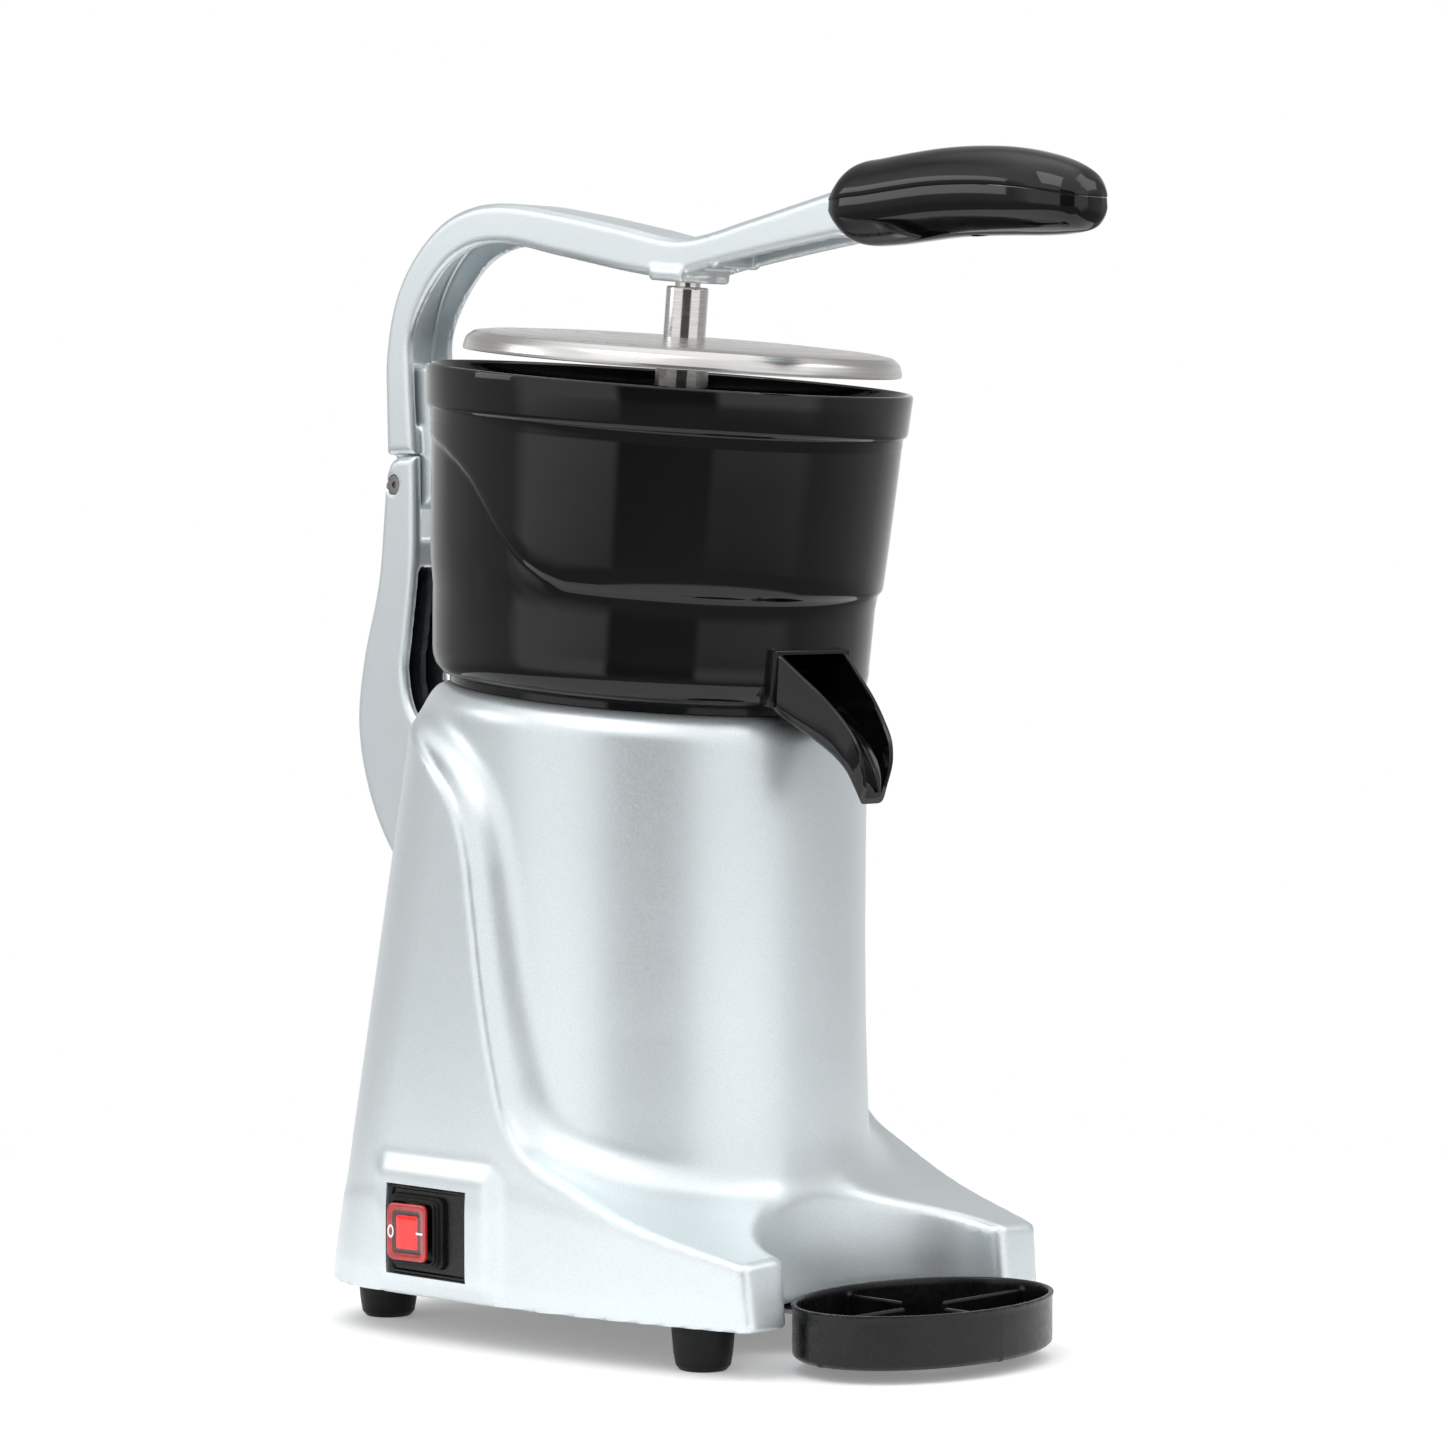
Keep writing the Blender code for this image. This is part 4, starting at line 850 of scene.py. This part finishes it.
def grip_half(name, upper, replaced):
    """Half of the grip: rings of half a rounded section, closed along the parting line."""
    middles, halves, talls = (curve([(station[0], station[k]) for station in GRIP], 5, closed=False)
                              for k in (1, 2, 3))
    sign = 1 if upper else -1
    count, groove, gap, power = 40, 0.35, 0.03, 0.86
    rings = []
    for (y, middle), half, tall in zip(middles, halves[:, 1], talls[:, 1]):
        joint = min(PARTING, tall * 0.4)
        start = np.arcsin(joint / tall) * sign
        angles = np.linspace(start + sign * gap, sign * (pi - gap) - start, count)
        arc = [(half * abs(cos(a)) ** power * np.sign(cos(a)),
                middle + tall * abs(sin(a)) ** power * np.sign(sin(a))) for a in angles]
        edge = middle + joint + sign * 0.08
        wide = arc[0][0] - groove
        flat = [(wide * t, edge) for t in (-1, -0.5, 0, 0.5, 1)]
        rings.append([(x, y, z) for x, z in arc + flat])
    grip = add_mesh(name, tube(name, rings, MACHINE), "lever", GLOSS, [replaced])
    if not upper:
        hole = cutter_rod(4.2, 20, 54, MACHINE @ Matrix.Translation((0, -163 * MM, 0)), 32)
        apply_booleans(grip, [hole], sharp=32)
    return grip


grip_half("grip_top_shell", True, "grip_upper")
grip_half("grip_bottom_shell", False, "grip_lower")

# ---------------------------------------------------------------- press

LID_LOW, LID_RADIUS, SHAFT = 6.5, 86.0, 8.3


def press():
    add_turned("steel_shaft", [
        (0, 46), (5, 46), (5, 36.2), (SHAFT, 36.2, 1.1), (SHAFT, -21.6, 0.4), (5, -21.6),
        (5, -29.5), (0, -29.5)], DRIVE, "lever", SHAFT_STEEL, ["press_shaft"], 96)
    low = LID_LOW
    add_turned("steel_lid", [
        (SHAFT + 0.1, low + 9.9), (15, low + 9.8, 1), (34, low + 9.5), (60, low + 8.9),
        (76, low + 8.1), (82.0, low + 7.3, 3), (85.0, low + 5.0, 3), (LID_RADIUS, low + 1.4, 2),
        (LID_RADIUS - 0.1, low, 0.4), (LID_RADIUS - 1.2, low, 0.4), (84.6, low + 1.6),
        (83.6, low + 4.2, 2), (80.6, low + 6.3, 2), (60, low + 7.7), (12.6, low + 8.2, 1),
        (11.6, low, 0.4), (SHAFT + 0.1, low)], DRIVE, "lid", ROUND_STEEL, ["splash_lid"],
        192)
    top = -22.0
    add_turned("cast_press_cup", [
        (5.3, top), (12, top, 1), (13.5, top - 3, 2), (26, top - 7.5, 6), (38, top - 17, 8),
        (44, top - 29, 6), (47, top - 40, 0.8), (44.6, top - 40, 0.6), (41.6, top - 30.4, 6),
        (36, top - 19.4, 8), (25, top - 11, 6), (11, top - 6.4, 1), (5.3, top - 6.4)],
        DRIVE, "lever", ALUMINIUM, ["press_cup"])


press()


def reamer():
    """A dome with eight rounded ribs that run up to its tip."""
    low, tip, sides, levels = -90.5, -34.5, 192, 44
    angles = [2 * pi * i / sides for i in range(sides)]
    inner = [(0.5, -54.5), (6.5, -54.5), (6.5, low + 3.7), (14.5, low + 3.7), (14.5, low + 3.6),
             (31, low + 3), (32, low)]
    rings = [[(r * cos(a), r * sin(a), h) for a in angles] for r, h in inner]
    for t in np.arange(levels) / (levels - 1):
        height = low + (tip - low) * min(1.0, t * 1.003)
        radius = max(0.6, 37.5 * sqrt(max(0.0, 1 - t**2.1)))
        depth = 0.15 * min(1.0, t * 8) * min(1.0, (1.02 - t) * 5)
        ring = []
        for a in angles:
            r = radius * (1 - depth * (1 - abs(cos(4 * a)) ** 0.55))
            ring.append((r * cos(a), r * sin(a), height))
        rings.append(ring)
    add_mesh("ribbed_reamer", tube("reamer", rings, DRIVE), "spindle", SATIN, ["reamer_cone"])


reamer()


def strainer():
    """The sieve under the reamer, with two rings of slots."""
    low = -94.0
    sieve = add_turned("sieve", [
        (0, low), (68, low, 3), (78, low + 6, 4), (83.2, low + 21.5, 1), (85.6, low + 22, 0.5),
        (85.4, low + 20.4, 0.5), (84.4, low + 20, 0.6), (79.6, low + 4.8, 4), (69.5, low - 1.8, 2),
        (0, low - 1.8)], HEAD, "frame", SATIN, ["strainer"])
    centre = cutter_rod(12.5, low - 8, low + 8, DRIVE, 64)
    slots = []
    for count, start, end in ((24, 26, 42), (40, 46, 64)):
        for i in range(count):
            turn = Matrix.Rotation(2 * pi * i / count, 4, "Z")
            slots.append(cutter_box((start, -1.0, low - 6), (end, 1.0, low + 6), HEAD @ turn))
    with bpy.context.temp_override(active_object=slots[0], selected_editable_objects=slots):
        bpy.ops.object.join()
    apply_booleans(sieve, [centre, slots[0]])


strainer()

# ---------------------------------------------------------------- tray and feet

TRAY_Y, TRAY_RADII, TRAY_TALL, TRAY_LOW = -134.5, (59.0, 40.7), 20.7, 5.0


def drip_tray():
    place = MACHINE @ Matrix.Translation((0, TRAY_Y * MM, (FLOOR + TRAY_LOW) * MM))
    thick, gap, top = 0.8, 11.0, 17.4

    def field(x, y, z):
        wall = oval(x, y, TRAY_RADII)
        lip = np.maximum(z - TRAY_TALL + 2.2, 0) * 0.28
        body = round_common(wall + 0.9 - lip, np.maximum(z - TRAY_TALL, -z), 0.7)
        body = np.maximum(body, round_common(wall, -z, 5.0))
        hollow = round_common(wall + 2.7 - lip * 0.6, 2.4 - z, 3.0)
        body = minus(body, hollow, 0.5)
        ribs = np.minimum(brick(abs(x), y, z, (gap, -thick, 0.5), (70, thick, top), 0.5),
                          brick(x, abs(y), z, (-thick, gap, 0.5), (thick, 50, top), 0.5))
        return round_union(body, np.maximum(ribs, wall + 1.5), 1.0)

    return add_skin("oval_drip_tray", field, (-62, -44, -2), (62, 44, 23), 0.8, place, "tray",
                    SATIN, ["drip_tray"])


drip_tray()


def feet():
    for name in ("fl", "fr", "rl", "rr"):
        low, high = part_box("foot_" + name)
        place = Matrix.Translation(((low.x + high.x) / 2, (low.y + high.y) / 2, 0))
        top = high.z / MM
        add_turned("rubber_foot_" + name, [
            (2.6, top), (12.5, top, 0.4), (12.2, top - 4), (11.2, 6.5), (10.4, 1.9, 1.2),
            (8.8, 0, 0.8), (5.5, 0, 0.5), (5.5, 9, 0.4), (2.6, 9)],
            place, "frame", RUBBER, ["foot_" + name], 64)


feet()

# ---------------------------------------------------------------- switch

PLATE_SHARP = 30  # degrees between faces that make an edge on the switch


def plate_ring(half_y, half_z, radius, steps=5):
    """A rounded rectangle's points, anticlockwise."""
    corners = [(half_y - radius, half_z - radius, 0), (radius - half_y, half_z - radius, 1),
               (radius - half_y, radius - half_z, 2), (half_y - radius, radius - half_z, 3)]
    return [(a + radius * cos((q + i / steps) * pi / 2), b + radius * sin((q + i / steps) * pi / 2))
            for a, b, q in corners for i in range(steps + 1)]


def stacked(name, levels, middle, finish, replaces, looped=False):
    """A piece of rounded rectangles stacked outwards from the wall: (x, half y, half z, radius)."""
    rings = [[(x, middle[0] + a, middle[1] + b) for a, b in plate_ring(hy, hz, r)]
             for x, hy, hz, r in levels]
    mesh = tube(name, rings, MACHINE, looped)
    return add_mesh(name, mesh, "frame", finish, replaces, PLATE_SHARP)


def switch():
    face, (y, z) = SWITCH_FACE, SWITCH_AT
    stacked("switch_frame", [
        (face + 4.7, 22.0, 17.0, 0.6), (face - 0.4, 22.0, 17.0, 0.6), (face - 0.75, 21.6, 16.6, 0.6),
        (face - 0.75, 20.6, 16.0, 0.6), (face - 0.3, 20.2, 15.6, 0.6), (face + 0.3, 20.0, 15.4, 0.6),
        (face + 0.3, 18.8, 14.6, 2.2)], (y, z), SATIN, ["switch_bezel"])
    stacked("switch_skirt", [
        (face - 0.2, 15.1, 14.0, 3.0), (face - 1.4, 14.9, 13.8, 3.0), (face - 1.6, 13.5, 12.9, 3.0),
        (face - 2.6, 13.3, 12.7, 3.0), (face - 2.8, 12.6, 12.3, 3.0), (face - 3.5, 12.6, 12.3, 3.0),
        (face - 3.8, 12.4, 12.1, 2.8), (face - 3.8, 11.7, 11.4, 2.2), (face - 3.5, 11.6, 11.3, 2.0),
        (face + 1.5, 11.6, 11.3, 2.0), (face + 1.5, 15, 14, 3.0)],
        (y + 5.5, z), RUBBER, ["switch_boot"], looped=True)


switch()


def face_at(a):
    """How far the rocker's face stands out at a place along it."""
    return 7.5 + 1.0 * (a / 10) + 1.1 * (a / 10) ** 2


def rocker():
    """The red cap: a shallow V of two faces, a dark ring, a bright window and two marks."""
    place = Matrix.Translation(JOINTS["rocker_tilt"]["pos_m"])
    half_y, half_z, radius = 10.0, 11.0, 3.0
    rings = [[(1.5, a * 0.25, b * 0.25) for a, b in plate_ring(half_y, half_z, radius, 6)]]
    for out, inset in ((-1.2, 0.0), (-0.35, 0.1), (-0.08, 0.45), (0.0, 1.0), (0.0, 2.6),
                       (-0.12, 2.8), (-0.12, 4.3), (0.0, 4.5), (0.02, 6.5)):
        outline = plate_ring(half_y - inset, half_z - inset, max(0.5, radius - inset * 0.5), 6)
        rings.append([(-(face_at(a) + out), a, b) for a, b in outline])
    cap = tube("rocker", rings, place)
    groove, window = (5, 6, 7), 8  # the strips between rings that are not plain red
    for index, polygon in enumerate(cap.polygons):
        strip = index // len(rings[0])
        polygon.material_index = 1 if strip in groove else 2 if strip >= window else 0
    cap.polygons[-2].material_index = 0  # the cap's hidden end
    add_mesh("rocker_cap", cap, "rocker", [RED, DARK_RING, RED_WINDOW], ["rocker"],
             PLATE_SHARP)
    steps, thick, raised = 40, 0.45, 0.1
    loop = []
    for i in range(steps):
        t = 2 * pi * i / steps
        for r in (1.0, 1.0 - thick):
            a = 8.0 + 1.35 * r * cos(t)
            loop.append((-(face_at(a) + raised), a, 2.6 * (r + 0.1 * (r < 1)) * sin(t)))
    faces = []
    for i in range(steps):
        after = 2 * ((i + 1) % steps)
        faces.append((2 * i, after, after + 1, 2 * i + 1))
    stroke = [(-(face_at(a) + raised + 0.04), a, b) for a, b in
              ((-8.6, -0.45), (-4.6, -0.45), (-4.6, 0.45), (-8.6, 0.45))]
    faces.append(tuple(range(2 * steps, 2 * steps + 4)))
    marks = mesh_of("rocker_marks", loop + stroke, faces, place)
    add_mesh("rocker_marks", marks, "rocker", MARK)


rocker()

# ---------------------------------------------------------------- stage, light and camera

CAMERA_AT = (-1.3743, -1.35944, 0.3082)
CAMERA_TURN, CAMERA_DOWN = -45.556, 2.0645  # degrees
SENSOR, LENS = 36.0, 123.75


def camera():
    data = bpy.data.cameras.new("camera")
    data.sensor_width, data.lens = SENSOR, LENS
    data.clip_start, data.clip_end = 0.05, 60
    obj = bpy.data.objects.new("camera", data)
    obj.location = CAMERA_AT
    obj.rotation_euler = (radians(90 - CAMERA_DOWN), 0, radians(CAMERA_TURN))
    bpy.context.scene.collection.objects.link(obj)
    bpy.context.scene.camera = obj


def floor():
    """A round pale sheet on the table's plane, as white as the background it runs into."""
    bm = bmesh.new()
    bmesh.ops.create_circle(bm, cap_ends=True, segments=96, radius=0.65)
    mesh = bpy.data.meshes.new("floor")
    bm.to_mesh(mesh)
    bm.free()
    obj = bpy.data.objects.new("floor", mesh)
    bpy.context.scene.collection.objects.link(obj)
    n = material("pale_floor")
    colour = n.mix(n.span(n.noise(300, 2), 0, 1), (0.90, 0.905, 0.91), (0.93, 0.93, 0.935))
    mesh.materials.append(n.surface(base_color=colour, roughness=0.75, specular_ior_level=0.1,
                                    emission_color=(1, 1, 1), emission_strength=0.22))


LIGHTS = {
    # place, what it points at, size, watts
    "key": ((-1.1, -0.3, 1.7), (0, 0, 0.22), (1.1, 1.1), 9),
    "side": ((-1.5, 1.5, 0.95), (0, 0, 0.42), (0.9, 0.7), 3.8),
    "fill": ((0.9, -1.1, 1.5), (0, 0, 0.22), (1.0, 1.0), 4),
}


def area_light(name, at, target, size, watts):
    data = bpy.data.lights.new(name, "AREA")
    data.shape = "RECTANGLE"
    data.size, data.size_y = size
    data.energy = watts
    obj = bpy.data.objects.new(name, data)
    obj.location = at
    obj.rotation_euler = (Vector(target) - Vector(at)).to_track_quat("-Z", "Y").to_euler()
    bpy.context.scene.collection.objects.link(obj)


# How bright the surroundings are at the height of the machine, from straight away from the camera
# (0) round to behind the camera (1): white walls, grey ones at the sides and a dark gap.
SURROUNDINGS = [
    (0.0, 0.85), (0.06, 0.72), (0.18, 0.5), (0.60, 0.45), (0.67, 1.08), (0.9525, 1.08),
    (0.965, 0.08), (1.0, 0.08),
]


def studio():
    """A white tent with grey sides and a dark gap behind the camera, and soft boxes above."""
    n = Nodes(bpy.data.worlds.new("studio"))
    back = radians(CAMERA_TURN) - pi / 2
    way = n.coordinates["Generated"]
    level = n.vector("NORMALIZE", 0, n.vector("MULTIPLY", 0, way, (1, 1, 0)))
    share = n.span(n.vector("DOT_PRODUCT", "Value", level, (cos(back), sin(back), 0)), 0, 1, -1, 1)
    ramp = n.add("ShaderNodeValToRGB", {0: share})
    stops = ramp.color_ramp.elements
    for at, bright in SURROUNDINGS[1:-1]:
        stops.new(at)
    for stop, (at, bright) in zip(stops, SURROUNDINGS):
        stop.position = at
        stop.color = (bright, bright, bright, 1)
    height = n.add("ShaderNodeSeparateXYZ", {0: way}).outputs["Z"]
    front = n.span(share, 0.42, 1.1, 0.3, 0.5)
    sky = n.mix(n.span(height, 0, 1, 0.15, 0.4), ramp.outputs[0], front)
    sky = n.mix(n.span(height, 0, 1, 0.7, 0.9), sky, (1.3, 1.3, 1.3))
    sky = n.mix(n.span(height, 0, 1, -0.12, -0.3), sky, (0.25, 0.25, 0.25))
    seen = n.add("ShaderNodeLightPath").outputs["Is Camera Ray"]
    background = n.tree.nodes["Background"].inputs
    n.set(background["Color"], n.mix(seen, sky, (1, 1, 1)))
    n.set(background["Strength"], 1.0)
    bpy.context.scene.world = n.made
    for name, settings in LIGHTS.items():
        area_light(name, *settings)
    bpy.context.scene.view_settings.view_transform = "Standard"


camera()
floor()
studio()
